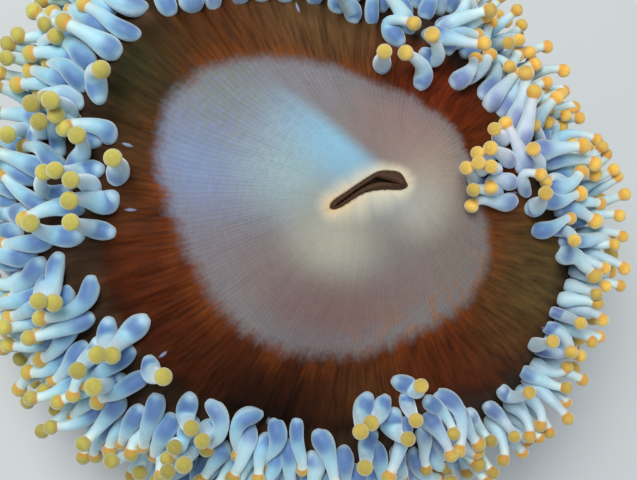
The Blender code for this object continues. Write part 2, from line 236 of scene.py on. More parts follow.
# %% Sight lines
FRAME_WIDE, FRAME_HIGH = 637, 480
CAMERA_ANGLE, CAMERA_DISTANCE = math.radians(76), 255 * MM
CAMERA_AIM = np.array([-3.0, -5.0, 68.0]) * MM
SENSOR, LENS = 36.0, 54.4
CAMERA_BACK = np.array([-math.cos(CAMERA_ANGLE), 0.0, math.sin(CAMERA_ANGLE)])
CAMERA_PLACE = CAMERA_AIM + CAMERA_DISTANCE * CAMERA_BACK
FRAME_UP = np.array([0.0, 1.0, 0.0])


def sight_lines(pixels):
    """Directions through pixels: the way ahead, plus the pixel's steps right and down from the frame's
    middle, over the focal length in pixels."""
    steps = (pixels - np.array([FRAME_WIDE, FRAME_HIGH]) / 2) / (FRAME_WIDE / SENSOR * LENS)
    right = np.cross(FRAME_UP, CAMERA_BACK)
    return unit(steps[..., :1] * right - steps[..., 1:] * FRAME_UP - CAMERA_BACK)


print("the camera stands at", np.round(CAMERA_PLACE / MM, 1), "mm")

# %% [markdown]
# ## Tentacles, first as bare lines
#
# Several hundred tentacles crowd the margin. Each begins as a line, because lines are easy to bend
# and to push about. The ones on top decide how the crown looks, so they are placed one by one. A row
# says where in the frame one is seen: its root, its middle and its ball. Where the ball lies beyond
# the frame's edge, its place is a guess. The tentacles come before the skin, because the skin swells
# round every root.

# %% Where the tentacles on top are seen
# Pixels across and down the frame: root, middle, ball; then the plumpness in percent.
SEEN = [
    (134, 36, 112, 24, 90, 4, 0), (107, 30, 92, 22, 75, 16, 0), (141, 10, 118, 6, 96, 0, 0),
    (94, 46, 72, 26, 46, 24, 25), (92, 62, 74, 46, 56, 44, 30), (57, 57, 45, 42, 60, 36, 0),
    (85, 86, 64, 66, 49, 60, 0), (101, 96, 92, 74, 99, 69, 0), (50, 77, 28, 62, 5, 58, 20),
    (40, 50, 15, 44, -8, 40, 20), (38, 83, 12, 76, -10, 72, 30), (28, 97, 8, 90, -12, 86, 20),
    (80, 102, 66, 93, 43, 92, 0), (77, 122, 70, 110, 52, 101, 0), (62, 152, 53, 132, 57, 117, 0),
    (55, 118, 46, 112, 33, 105, 0), (50, 128, 45, 125, 40, 122, 0), (72, 168, 84, 152, 78, 136, 0),
    (98, 172, 78, 173, 58, 171, 0), (66, 166, 47, 150, 26, 146, 0), (45, 135, 26, 128, 10, 133, 0),
    (66, 192, 42, 192, 42, 176, 0), (117, 178, 119, 168, 114, 159, 0), (112, 198, 92, 196, 71, 200, 30),
    (97, 188, 89, 183, 74, 180, 0), (45, 206, 21, 193, 8, 176, 0), (28, 214, 8, 215, -10, 212, 20),
    (78, 236, 50, 235, 32, 225, 0), (109, 232, 90, 228, 73, 223, 0), (50, 240, 25, 246, 4, 243, 0),
    (60, 260, 51, 284, 52, 301, 0), (44, 265, 23, 286, 10, 305, 0), (52, 278, 46, 290, 40, 300, 0),
    (93, 283, 80, 307, 44, 318, 0), (74, 323, 60, 344, 44, 361, 0), (70, 292, 62, 310, 43, 334, 0),
    (88, 346, 72, 362, 58, 377, 0), (98, 344, 88, 357, 79, 369, 0), (110, 324, 106, 342, 102, 354, 0),
    (143, 321, 124, 338, 109, 353, 0), (130, 351, 108, 368, 86, 382, 0), (121, 378, 106, 385, 95, 387, 0),
    (144, 374, 122, 388, 99, 397, 0), (150, 364, 151, 374, 161, 377, 0), (121, 398, 101, 425, 82, 445, 0),
    (142, 408, 128, 432, 117, 443, 0), (158, 398, 150, 425, 139, 442, 0), (172, 417, 163, 438, 157, 452, 0),
    (190, 398, 186, 420, 190, 428, 0), (213, 404, 222, 424, 208, 446, 0), (213, 422, 204, 432, 202, 440, 0),
    (255, 412, 236, 424, 241, 450, 0), (276, 422, 276, 444, 262, 462, 0), (297, 422, 298, 450, 307, 469, 0),
    (319, 433, 329, 455, 335, 485, 15), (343, 450, 344, 470, 346, 488, 0),
    (288, 442, 287, 465, 294, 490, 0), (186, 438, 186, 452, 184, 464, 0), (155, 436, 147, 455, 140, 472, 0),
    (138, 443, 124, 457, 109, 461, 0), (172, 450, 170, 460, 168, 470, 0), (182, 440, 178, 443, 175, 447, 0),
    (368, 398, 361, 416, 361, 430, 0), (382, 401, 381, 414, 372, 423, 0),
    (391, 411, 394, 432, 406, 439, 35), (370, 433, 367, 455, 365, 467, 0),
    (395, 447, 398, 461, 398, 476, 0), (397, 381, 415, 394, 421, 388, 20),
    (404, 397, 409, 408, 415, 419, 0), (425, 400, 445, 414, 454, 435, 0),
    (437, 394, 461, 412, 460, 447, 15), (467, 411, 480, 429, 491, 441, 0),
    (424, 415, 443, 438, 452, 458, 20), (420, 427, 425, 447, 420, 466, 0),
    (486, 404, 504, 421, 514, 436, 0), (499, 426, 504, 445, 502, 462, 0), (466, 437, 481, 458, 495, 475, 0),
    (460, 448, 474, 466, 488, 486, 0), (436, 447, 446, 466, 451, 482, 0),
    (500, 388, 511, 398, 527, 394, 15), (530, 343, 538, 345, 551, 342, 0),
    (547, 323, 563, 334, 571, 351, 0), (553, 313, 569, 318, 580, 323, 0), (578, 310, 594, 313, 603, 322, 0),
    (540, 355, 560, 354, 582, 356, 0), (539, 364, 556, 374, 568, 366, 0), (527, 372, 549, 384, 569, 388, 0),
    (533, 388, 552, 400, 570, 421, 0), (524, 402, 528, 420, 529, 438, 0), (531, 396, 541, 411, 539, 426, 0),
    (548, 408, 558, 435, 571, 463, 0), (570, 398, 577, 404, 583, 413, 0), (575, 330, 585, 336, 593, 343, 0),
    (592, 335, 600, 338, 607, 339, 0), (566, 372, 575, 376, 583, 380, 0), (535, 432, 541, 438, 547, 444, 0),
    (538, 452, 545, 459, 553, 465, 0), (527, 452, 534, 460, 540, 468, 0), (566, 430, 571, 440, 572, 450, 0),
    (517, 172, 517, 145, 504, 121, 35), (503, 143, 500, 137, 495, 130, 0),
    (501, 161, 490, 158, 479, 154, 0), (504, 168, 504, 156, 492, 149, 0), (488, 180, 477, 175, 467, 168, 0),
    (487, 176, 481, 172, 479, 165, 0), (499, 174, 494, 172, 491, 167, 0),
    (506, 178, 491, 175, 490, 189, 15), (497, 186, 485, 188, 473, 190, 0),
    (503, 188, 486, 196, 470, 208, 0), (541, 128, 531, 113, 519, 122, 0), (541, 155, 540, 140, 532, 125, 0),
    (560, 136, 556, 126, 545, 124, 0), (533, 172, 534, 160, 533, 147, 0), (521, 192, 517, 174, 538, 174, 0),
    (552, 158, 559, 132, 590, 137, 30), (566, 178, 572, 160, 571, 142, 0),
    (578, 178, 590, 160, 602, 143, 30), (598, 172, 611, 158, 618, 145, 0),
    (578, 190, 599, 178, 617, 168, 0), (603, 190, 620, 181, 637, 166, 0), (565, 202, 582, 202, 598, 203, 0),
    (598, 206, 618, 197, 640, 189, 0), (577, 222, 598, 214, 621, 216, 0), (534, 230, 550, 229, 567, 217, 0),
    (552, 230, 567, 231, 574, 239, 0), (598, 237, 612, 233, 624, 239, 0), (584, 240, 604, 243, 620, 244, 0),
    (580, 258, 590, 262, 605, 269, 0), (594, 252, 610, 260, 626, 270, 0), (584, 274, 598, 281, 610, 286, 0),
    (577, 286, 587, 290, 599, 296, 0), (565, 304, 581, 300, 600, 304, 0), (600, 282, 611, 284, 621, 286, 0),
    (561, 192, 552, 177, 541, 186, 25), (527, 208, 538, 206, 545, 195, 10), (352, 20, 345, 5, 338, -12, 0),
    (371, 22, 372, 5, 375, -12, 0), (398, 42, 385, 20, 409, 22, 35), (381, 70, 382, 62, 384, 53, 0),
    (419, 85, 424, 68, 408, 54, 10), (424, 55, 439, 60, 434, 39, 0), (439, 28, 460, 18, 467, -8, 15),
    (406, 14, 400, 0, 396, -16, 0), (437, 13, 436, 0, 434, -16, 20), (445, 50, 456, 34, 476, 38, 0),
    (452, 84, 469, 72, 477, 56, 20), (472, 28, 488, 12, 502, -6, 25), (478, 37, 498, 26, 517, 10, 0),
    (481, 50, 494, 45, 507, 43, 0), (478, 74, 497, 60, 511, 69, 0), (508, 64, 516, 51, 531, 54, 0),
    (527, 80, 546, 69, 567, 71, 0), (511, 101, 531, 88, 548, 82, 0), (531, 104, 550, 95, 565, 95, 0),
    (546, 118, 558, 114, 568, 117, 0), (565, 102, 572, 103, 580, 105, 0), (567, 120, 573, 119, 581, 118, 0),
    (530, 50, 540, 47, 550, 46, 0), (500, 42, 509, 38, 519, 40, 0), (560, 84, 570, 82, 580, 86, 0),
]
seen = np.array(SEEN, float)
seen_pixels = seen[:, :6].reshape(-1, 3, 2)
print(len(seen), "tentacles placed one by one")

# %% [markdown]
# A pixel only gives a sight line. How far along it the tentacle lies follows from its size: a root
# is where the line meets the skin, and the middle and the ball are somewhere above it. So several
# heights over the skin are tried for both, and the pair is kept that gives the most natural
# tentacle: of usual length, not too high, and without a sharp turn back.

# %% Points on the sight lines and their heights over the skin
SIGHT_STEPS = np.linspace(165, 290, 100) * MM
MARKS_ALONG, MARKS_ROUND = np.linspace(30, 122, 116) * MM, 300


def marks_on_skin(distances, count):
    """Marks at every listed distance along the outline and at count even angles: their places, normals,
    distances and angles."""
    net = np.meshgrid(distances, np.linspace(0, 2 * math.pi, count, endpoint=False))
    along, turn = [values.ravel() for values in net]
    return *surface_at(along, turn)[:2], along, turn


def nearest_of(points, marks, block=600):
    """The number of the mark nearest to each point, worked out a block of points at a time."""
    square = (marks**2).sum(axis=1)
    blocks = [points[k : k + block] for k in range(0, len(points), block)]
    return np.concatenate([np.argmin(square - 2 * some @ marks.T, axis=1) for some in blocks])


def over_skin(points):
    """Each point's height over the nearest mark on the skin: the offset's part along the normal. Also the
    mark's distance along the outline and its angle."""
    skin, normal, along, turn = marks_on_skin(MARKS_ALONG, MARKS_ROUND)
    flat = points.reshape(-1, 3)
    nearest = nearest_of(flat, skin)
    height = ((flat - skin[nearest]) * normal[nearest]).sum(axis=1)
    return [values.reshape(points.shape[:-1]) for values in (height, along[nearest], turn[nearest])]


line_points = CAMERA_PLACE + sight_lines(seen_pixels)[:, :, None] * SIGHT_STEPS[:, None]
line_height, line_along, line_turn = over_skin(line_points)
print(line_height.size, "points on the sight lines,", int((line_height < 0).sum()), "of them under the skin")


# %% The roots of the tentacles on top
ROOT_HEIGHT, NEAR_MISS, MISS_SHARE = 0.3 * MM, 2 * MM, 0.9
ROOTS_APART, APART_ROUNDS, APART_SHARE = 4.9 * MM, 60, 0.3
BETTER_ROUNDS = 4
TINY = 1e-9


def at_heights(points, height, wanted):
    """The first point on each line at each wanted height, between two steps by their heights; if the line
    stays higher, its lowest point. Also the step's number, and whether the height was reached."""
    low = height[:, None] <= wanted[:, None]
    reached = low.any(axis=2)
    step = np.where(reached, low.argmax(axis=2), height.argmin(axis=1)[:, None])
    own = np.arange(len(points))[:, None]
    last = np.maximum(step - 1, 0)
    fall = np.maximum(height[own, last] - height[own, step], TINY)
    part = np.where(reached, np.clip((wanted - height[own, step]) / fall, 0, 1), 0)[..., None]
    return points[own, step] * (1 - part) + points[own, last] * part, step, reached


def moved(along, turn, offset):
    """Places on the skin after a small offset: its part downhill adds to the distance, its part aside, over
    the radius, to the angle. The offset is a function of the places they have now."""
    place, normal, downhill = surface_at(along, turn)
    move = offset(place)
    aside = (move * np.cross(normal, downhill)).sum(axis=1) / np.hypot(place[:, 0], place[:, 1])
    return along + (move * downhill).sum(axis=1), turn + aside


def from_each_other(place):
    """Moves away from every root that is nearer than ROOTS_APART, by a share of what is missing."""
    offset = place[:, None] - place
    distance = np.linalg.norm(offset, axis=2) + np.eye(len(place))
    missing = np.clip(ROOTS_APART - distance, 0, None)
    return (offset * (missing / distance * APART_SHARE)[..., None]).sum(axis=1)


def placed_roots():
    """Where each root's sight line meets the skin. A line that passes over the margin misses it, and its root
    goes further down by most of what it missed. Then the roots are spread."""
    root, step, _ = at_heights(line_points[:, 0], line_height[:, 0], np.array([ROOT_HEIGHT]))
    row, step = np.arange(len(seen)), step[:, 0]
    missed = np.clip(line_height[row, 0, step] - NEAR_MISS, 0, None)
    along, turn = line_along[row, 0, step], line_turn[row, 0, step]
    for _ in range(BETTER_ROUNDS):
        along, turn = moved(along, turn, lambda place: root[:, 0] - place)
    along = along + MISS_SHARE * missed
    for _ in range(APART_ROUNDS):
        along, turn = moved(along, turn, from_each_other)
    return along, turn


top_along, top_turn = placed_roots()
print("roots", round(float(top_along.min() / MM)), "to", round(float(top_along.max() / MM)), "mm along")

# %% Their middles and balls
MIDDLE_HEIGHTS, BALL_HEIGHTS = np.array([2.6, 3.5, 4.5, 6.0, 7.5]) * MM, np.arange(2.4, 15, 0.6) * MM
USUAL_LENGTH, LENGTH_SWING, LONGEST = 14.8 * MM, 0.12, 18.6 * MM
USUAL_MIDDLE, USUAL_BALL = 3.5, 5
MIDDLE_COST, BALL_COST, DROOP_COST, TURN_COST, MISS_COST = 0.35, 0.12, 0.25, 1.2, 2.0


def pair_cost(first, second, turn, met):
    """What is unusual about each pair of heights, in millimetres: differences from the usual length and
    heights, a ball lower than the middle, a turn back, and a height that the line doesn't reach."""
    long = np.linalg.norm(first, axis=3) + np.linalg.norm(second, axis=3)
    usual = (USUAL_LENGTH * (1 - LENGTH_SWING * np.cos(turn)))[:, None, None]
    middle_high, ball_high = MIDDLE_HEIGHTS[:, None] / MM, BALL_HEIGHTS / MM
    cost = np.abs(long - usual) / MM + MIDDLE_COST * np.abs(middle_high - USUAL_MIDDLE)
    cost = cost + BALL_COST * np.abs(ball_high - USUAL_BALL)
    cost = cost + DROOP_COST * np.clip(middle_high - ball_high, 0, None)
    cost = cost + TURN_COST * np.clip(-(unit(first) * unit(second)).sum(axis=3), 0, None)
    return cost + MISS_COST * ~met, long


def middles_and_balls():
    """The middle and the ball of the pair of heights that costs least, drawn in where they are too long."""
    root = surface_at(top_along, top_turn)[0]
    middle, _, middle_met = at_heights(line_points[:, 1], line_height[:, 1], MIDDLE_HEIGHTS)
    ball, _, ball_met = at_heights(line_points[:, 2], line_height[:, 2], BALL_HEIGHTS)
    first = (middle - root[:, None])[:, :, None]
    second = ball[:, None] - middle[:, :, None]
    cost, long = pair_cost(first, second, top_turn, middle_met[:, :, None] & ball_met[:, None])
    row = np.arange(len(seen))
    best = cost.reshape(len(seen), -1).argmin(axis=1)
    middle, ball = middle[row, best // len(BALL_HEIGHTS)], ball[row, best % len(BALL_HEIGHTS)]
    shorter = np.minimum(LONGEST / long.reshape(len(seen), -1)[row, best], 1)[:, None]
    return root + (middle - root) * shorter, root + (ball - root) * shorter


top_middle, top_ball = middles_and_balls()
print("the balls on top reach", round(float(top_ball[:, 2].max() / MM), 1), "mm over the floor")

# %% [markdown]
# Behind and between them stand many more, in staggered rows, a little jittered so that no grid
# shows. Where a placed tentacle already stands, a row leaves it room, and more of it uphill, where
# the others would hide its root. Spots that are bare after that get a tentacle of their own.

# %% Where the others stand
SECTORS = 10
SPAN = 2 * math.pi / SECTORS
ROWS = [(0, 6), (0.11, 7), (0.22, 7), (0.34, 8), (0.46, 8), (0.59, 8), (0.72, 8), (0.86, 7), (1, 7)]
ROOT_STAGGER, ROOT_JITTER, ROW_JITTER = 0.22, 0.16, 0.9
ROOM_IN_FRONT, ROOM_BEHIND, DOWNHILL = 7.2 * MM, 4.4 * MM, 1.0 * MM
FILL_TRIES, FILL_ROOM = 4000, 5.7 * MM
rng = np.random.default_rng(7)


def row_roots():
    """Rows at listed shares of the way from the first roots to the last, with even, jittered angles."""
    along, turn = [], []
    for row, (share, in_sector) in enumerate(ROWS):
        count = in_sector * SECTORS
        place = np.arange(count) + 0.5 + ROOT_STAGGER * (-1) ** row
        place = place + rng.uniform(-ROOT_JITTER, ROOT_JITTER, count)
        angle = place * 2 * math.pi / count
        first = ring_at(FIRST_ROOTS, angle)
        along.append(first + share * (LAST_ROOTS - first) + rng.uniform(-ROW_JITTER, ROW_JITTER, count) * MM)
        turn.append(angle)
    return np.concatenate(along), np.concatenate(turn)


def leaves_room(along, turn):
    """Whether a root keeps its distance from every placed one: more where the nearest is downhill of it."""
    taken, candidates = surface_at(top_along, top_turn)[0], surface_at(along, turn)[0]
    distance = np.linalg.norm(candidates[:, None] - taken, axis=2)
    downhill = along - top_along[distance.argmin(axis=1)]
    return distance.min(axis=1) > np.where(downhill > DOWNHILL, ROOM_BEHIND, ROOM_IN_FRONT)


def bare_spots(along, turn):
    """Random places of the margin, taken one after another where no root is nearer than FILL_ROOM."""
    spot_turn = rng.uniform(0, 2 * math.pi, FILL_TRIES)
    first = ring_at(FIRST_ROOTS, spot_turn)
    spot_along = first + rng.random(FILL_TRIES) * (LAST_ROOTS - first)
    free = leaves_room(spot_along, spot_turn)
    spot_along, spot_turn = spot_along[free], spot_turn[free]
    roots = surface_at(along, turn)[0]
    spots = surface_at(spot_along, spot_turn)[0]
    chosen = []
    for number, spot in enumerate(spots):
        if np.linalg.norm(roots - spot, axis=1).min() > FILL_ROOM:
            roots = np.concatenate([roots, spot[None]])
            chosen.append(number)
    return spot_along[chosen], spot_turn[chosen]


row_along, row_turn = row_roots()
kept = leaves_room(row_along, row_turn)
root_along = np.concatenate([top_along, row_along[kept]])
root_turn = np.concatenate([top_turn, row_turn[kept]])
spot_along, spot_turn = bare_spots(root_along, root_turn)
root_along = np.concatenate([root_along, spot_along])
root_turn = np.concatenate([root_turn, spot_turn])
print(len(root_along), "tentacles in all,", len(spot_along), "of them in spots that were bare")

# %% [markdown]
# A placed line is a parabola through its three points. The others leave the skin steeply and then
# bend over and down, each with a sway and a curl of its own. Where the margin is steep they stand
# out sideways. On a fold they lean away from the fold's middle, so that a fold looks like a posy.

# %% How they lie
LENGTH = 16.2 * MM
TOP_SWING, BROAD, BROAD_SWING, BROAD_TURN = 0.08, 1.07, 0.08, math.radians(-25)
SIZE_JITTER, LENGTH_JITTER, PLUMP_JITTER = 0.06, 0.13, 0.09
PATH_POINTS, FINE_POINTS, PAST_BALL = 12, 30, 1.12
ROOT_RISE = 1.2 * MM
ROOT_WAY, TIP_WAY = (0.55, 0.83), (0.38, 0.75)
STEEP, GENTLE = 0.05, 0.55
ROOT_STAND, TIP_STAND = (0.4, -0.45), (0.3, -0.4)
SWAY_ASIDE, SWAY_UP, CURL = 0.38, 0.22, 0.45
HOOKED_SHARE, HOOK = 0.18, 1.2
LEAN_RISE, ROOT_LEAN, TIP_LEAN, LEAN_CUT = 0.45, 0.6, 0.85, 0.2
LONG_POWER = 0.8
TURNS_OVER, CURLS_OVER = (0.05, 0.75), (0.45, 1.0)


def placed_paths(along, turn):
    """(1 - t)^2 A + 2t(1 - t) B + t^2 C, with A the root, C the ball and B such that the middle lies at
    t = 1/2; t runs on past the ball's middle to the tip."""
    place, normal, _ = surface_at(along, turn)
    place = place + normal * ROOT_RISE
    bend = 2 * top_middle - (place + top_ball) / 2
    t = np.linspace(0, PAST_BALL, FINE_POINTS)[:, None]
    lines = [(1 - t) ** 2 * a + 2 * t * (1 - t) * b + t**2 * c for a, b, c in zip(place, bend, top_ball)]
    return np.stack([evenly(line, PATH_POINTS) for line in lines])


def broadness(turn):
    """How big the rows' tentacles are: a cosine of twice the angle, largest on the left and the right."""
    return BROAD + BROAD_SWING * np.cos(2 * (turn - BROAD_TURN))


def rest_paths(along, turn):
    """Lines stepped from the root. The direction goes from one mix of normal and downhill to another at the
    tip, with more of the normal where the skin is steep. Random numbers add a sway aside and up and a curl
    near the tip, and near a fold the line leans away from its middle."""
    place, normal, downhill = surface_at(along, turn)
    count = len(along)
    low = round_points(along, turn)
    weights, away = fold_weights(low[:, 0], low[:, 1])
    aside = np.cross(normal, downhill)
    long = LENGTH * broadness(turn) ** LONG_POWER * (1 + rng.uniform(-LENGTH_JITTER, LENGTH_JITTER, count))
    stand = 1 - smooth_step(STEEP, GENTLE, normal[:, 2:])
    first = (ROOT_WAY[0] + ROOT_STAND[0] * stand) * normal + (ROOT_WAY[1] + ROOT_STAND[1] * stand) * downhill
    last = (TIP_WAY[0] + TIP_STAND[0] * stand) * normal + (TIP_WAY[1] + TIP_STAND[1] * stand) * downhill
    last = last + aside * rng.normal(0, SWAY_ASIDE, count)[:, None]
    last = last + normal * rng.normal(0, SWAY_UP, count)[:, None]
    share = np.clip(weights * (1 + LEAN_CUT) - LEAN_CUT, 0, 1)[..., None]
    lean = np.concatenate([away, np.full(share.shape, LEAN_RISE)], axis=-1) * share
    first = first * (1 - ROOT_LEAN * share.sum(axis=0)) + ROOT_LEAN * lean.sum(axis=0)
    last = last * (1 - TIP_LEAN * share.sum(axis=0)) + TIP_LEAN * lean.sum(axis=0)
    curl = rng.normal(0, CURL, count) + HOOK * (rng.random(count) < HOOKED_SHARE)
    bend = unit(np.cross(last, aside)) * curl[:, None] + aside * rng.normal(0, CURL, count)[:, None]
    step = (long / (PATH_POINTS - 1))[:, None]
    points = [place + normal * ROOT_RISE]
    for t in (np.arange(PATH_POINTS - 1) + 0.5) / (PATH_POINTS - 1):
        way = unit(first) + (unit(last) - unit(first)) * smooth_step(*TURNS_OVER, t)
        points.append(points[-1] + step * unit(way + bend * smooth_step(*CURLS_OVER, t)))
    return np.stack(points, axis=1)


top_count = len(seen)
paths = np.concatenate([
    placed_paths(root_along[:top_count], root_turn[:top_count]),
    rest_paths(root_along[top_count:], root_turn[top_count:]),
])
stiff = np.arange(len(paths)) < top_count
sizes = np.where(stiff, 1 - TOP_SWING * np.cos(root_turn), broadness(root_turn))
sizes = sizes + rng.uniform(-SIZE_JITTER, SIZE_JITTER, len(paths))
plumps = rng.normal(0, PLUMP_JITTER, len(paths))
plumps[:top_count] += seen[:, 6] / 100
lengths = np.linalg.norm(np.diff(paths, axis=1), axis=2).sum(axis=1)
print("lengths in mm, shortest, middle, longest:", np.round(np.percentile(lengths, [0, 50, 100]) / MM, 1))

# %% [markdown]
# ## A tentacle's width
#
# From root to tip a tentacle swells into a bulb, narrows to a neck, and ends in a ball. The ball is
# round however long the tentacle is, so it can't simply be stretched with the rest. Widths are
# therefore listed by stages: the flesh takes the stages up to the pinch, the ball those after it,
# and each stage is turned into a share of the length for every tentacle.

# %% Widths by stages
PINCH, BALL_LONG = 0.75, 3.8 * MM
WIDTHS = [(-0.11, 0.9), (-0.085, 1.3), (-0.055, 1.75), (-0.02, 2.1), (0.03, 2.32), (0.1, 2.42), (0.18, 2.36)]
WIDTHS += [(0.3, 2.05), (0.42, 1.75), (0.58, 1.5), (0.75, 1.3)]
WIDTHS += [(0.78, 1.6), (0.81, 1.85), (0.87, 2.08), (0.93, 1.85), (0.97, 1.35), (1.0, 0.6)]
BULB_MIDDLE, BULB_SPREAD = 0.12, 0.2


def share_at(stage, long, size):
    """Where a stage is, as a share of the length: the ball keeps its own length, the flesh has the rest."""
    ball = BALL_LONG * size / long
    return np.where(stage < PINCH, stage / PINCH * (1 - ball), 1 - (1 - stage) / (1 - PINCH) * ball)


def stage_at(share, long, size):
    """The stage at a share of the length, which undoes share_at."""
    ball = BALL_LONG * size / long
    return np.where(share < 1 - ball, share / (1 - ball) * PINCH, 1 - (1 - share) / ball * (1 - PINCH))


def width_at(stage, size, plump):
    """The listed radius times the size; a bell round the bulb adds the plumpness."""
    stages, radii = np.array(WIDTHS).T
    bulb = np.exp(-(((stage - BULB_MIDDLE) / BULB_SPREAD) ** 2))
    return np.interp(stage, stages, radii) * MM * size * (1 + plump * bulb)


usual_widths = 2 * width_at(np.array([0.18, 0.7, 0.87]), 1, 0)
print("widths in mm at the bulb, neck and ball:", np.round(usual_widths / MM, 2))

# %% [markdown]
# ## Making room for one another
#
# Drawn alone, the tentacles run through each other. Real ones press against their neighbours and
# give way. A short relaxation does the same: wherever two points of different tentacles are nearer
# than their widths allow, both are pushed apart a little, points under the skin are lifted out, and
# each line is pulled back to its own length. The placed ones are stiffer, so the others give way.

# %% The relaxation
TOUCH = 0.93
SETTLE_ROUNDS, LOOK_EVERY, PUSH_SHARE = 120, 10, 0.4
STIFF_EASE, STIFF_PULL, LOOSE_PULL = 0.5, 0.08, 0.02
LIFT_ALONG, LIFT_ROUND = np.linspace(30, 112, 46) * MM, 220
PAIR_REACH, LIFT_SHARE = 2.3, 0.9
RISEN, FREE = (0.05, 0.3), (0, 0.35)


def near_pairs(points, reach, owner, block=600):
    """Pairs of points of different tentacles nearer than reach, from |a - b|^2 = |a|^2 + |b|^2 - 2ab."""
    square = (points**2).sum(axis=1)
    pairs = []
    for k in range(0, len(points), block):
        apart = square[k : k + block, None] + square - 2 * points[k : k + block] @ points.T
        first, second = np.nonzero(apart < reach**2)
        pairs.append(np.stack([first + k, second]))
    first, second = np.concatenate(pairs, axis=1)
    other = owner[first] != owner[second]
    return first[other], second[other]


def settled(paths, radius, ease, pull):
    """Repeated small moves: apart where two tentacles press, out of the skin, and home. After each round
    every step of a line is brought back to its own length."""
    count, steps = paths.shape[:2]
    t = np.linspace(0, 1, steps)
    radius = radius.ravel()
    owner = np.repeat(np.arange(count), steps)
    risen = smooth_step(*RISEN, np.tile(t, count))
    skin, skin_normal, _, _ = marks_on_skin(LIFT_ALONG, LIFT_ROUND)
    home = paths.copy()
    segment = np.linalg.norm(np.diff(paths, axis=1), axis=2)
    free = smooth_step(*FREE, t)[:, None] * ease[:, None, None]
    for number in range(SETTLE_ROUNDS):
        flat = paths.reshape(-1, 3)
        if number % LOOK_EVERY == 0:
            one, two = near_pairs(flat, PAIR_REACH * radius.max(), owner)
            nearest = nearest_of(flat, skin)
        apart = flat[one] - flat[two]
        distance = np.linalg.norm(apart, axis=1) + TINY
        push = np.clip(TOUCH * (radius[one] + radius[two]) - distance, 0, None) / distance * PUSH_SHARE
        move = np.stack([np.bincount(one, apart[:, k] * push, len(flat)) for k in range(3)], axis=1)
        height = ((flat - skin[nearest]) * skin_normal[nearest]).sum(axis=1)
        lift = np.clip(LIFT_SHARE * radius * risen - height, 0, None)
        move += skin_normal[nearest] * lift[:, None]
        paths = paths + move.reshape(paths.shape) * free + pull[:, None, None] * (home - paths) * free
        for k in range(1, steps):
            paths[:, k] = paths[:, k - 1] + unit(paths[:, k] - paths[:, k - 1]) * segment[:, k - 1 : k]
    return paths, len(one) // 2, float(np.percentile(push[push > 0], 95) / PUSH_SHARE)


path_stages = stage_at(np.linspace(0, 1, PATH_POINTS), lengths[:, None], sizes[:, None])
path_widths = width_at(path_stages, sizes[:, None], plumps[:, None])
ease, pull = np.where(stiff, STIFF_EASE, 1.0), np.where(stiff, STIFF_PULL, LOOSE_PULL)
paths, pairs, worst = settled(paths, path_widths, ease, pull)
print(pairs, "neighbouring pairs of points")
print(f"19 of 20 that touch press by less than {100 * worst:.0f}% of their distance")

# %% [markdown]
# ## The skin
#
# A real anemone is one sac of tissue, so one surface takes the place of all the flesh in the CAD
# model, and no seam can show. It is a grid of two parameters, the distance along the outline and
# the angle round it. The rows are closer together where the shape turns tightly: round the mouth,
# over the margin, and on the column.

# %% The skin's grid
COLUMNS = 540
ROW_PACE = [(0, 0.45), (6, 0.7), (18, 1.2), (48, 1.1), (56, 0.9), (106, 0.9), (118, 1.05), (165, 1.15)]
HOLE_NARROW, HOLE_WIDE = 1.7, 2.5
HOLE_GROWS = (-0.2, 0.75)
# The rim stands out by a share of its width at some angles from the slit: (angle, share, spread in degrees).
HOLE_LOBES = [(34, 0.6, 20), (-30, 0.65, 22), (63, 0.35, 14), (106, -0.22, 26)]
HOLE_LOBES += [(-106, -0.2, 28), (150, 0.25, 18), (-150, 0.25, 18)]
HOLE, RIM_HEIGHT = 3 * MM, 80 * MM


def paced(start, end):
    """Places from start to end whose spacing follows ROW_PACE: equal steps of the integral of 1 / spacing."""
    at = np.linspace(start, end, 2000)
    marks, spacing = np.array(ROW_PACE).T
    walked = np.concatenate([[0], np.cumsum(np.diff(at) / np.interp(at[1:], marks * MM, spacing * MM))])
    return np.interp(np.linspace(0, walked[-1], int(walked[-1]) + 1), walked, at)


def hole_at(turn):
    """The mouth's half width: narrow at the slit's left end, wide at its right one, and bells for lobes."""
    wide = HOLE_NARROW + (HOLE_WIDE - HOLE_NARROW) * smooth_step(*HOLE_GROWS, np.cos(turn - SLIT_TURN))
    lobes = 1 + 0 * wide
    for angle, share, spread in HOLE_LOBES:
        off = np.degrees(np.angle(np.exp(1j * (turn - SLIT_TURN - math.radians(angle)))))
        lobes += share * np.exp(-((off / spread) ** 2))
    return wide * lobes * MM


turns = np.linspace(0, 2 * math.pi, COLUMNS, endpoint=False)
rows = paced(HOLE, OUTLINE_LENGTHS[-1])
print(len(rows), "rows from the mouth to the sole, and", COLUMNS, "columns")


# %% [markdown]
# The surface isn't smooth. Faint pleats run out from the grey middle to the margin, a ridge leads to
# each tentacle in front and the skin swells round its root, and between them lie a few small pale
# lenses, the buds of further tentacles. The column carries rows of small warts. Sines of the angle
# make the pleats, and bells make the rest.

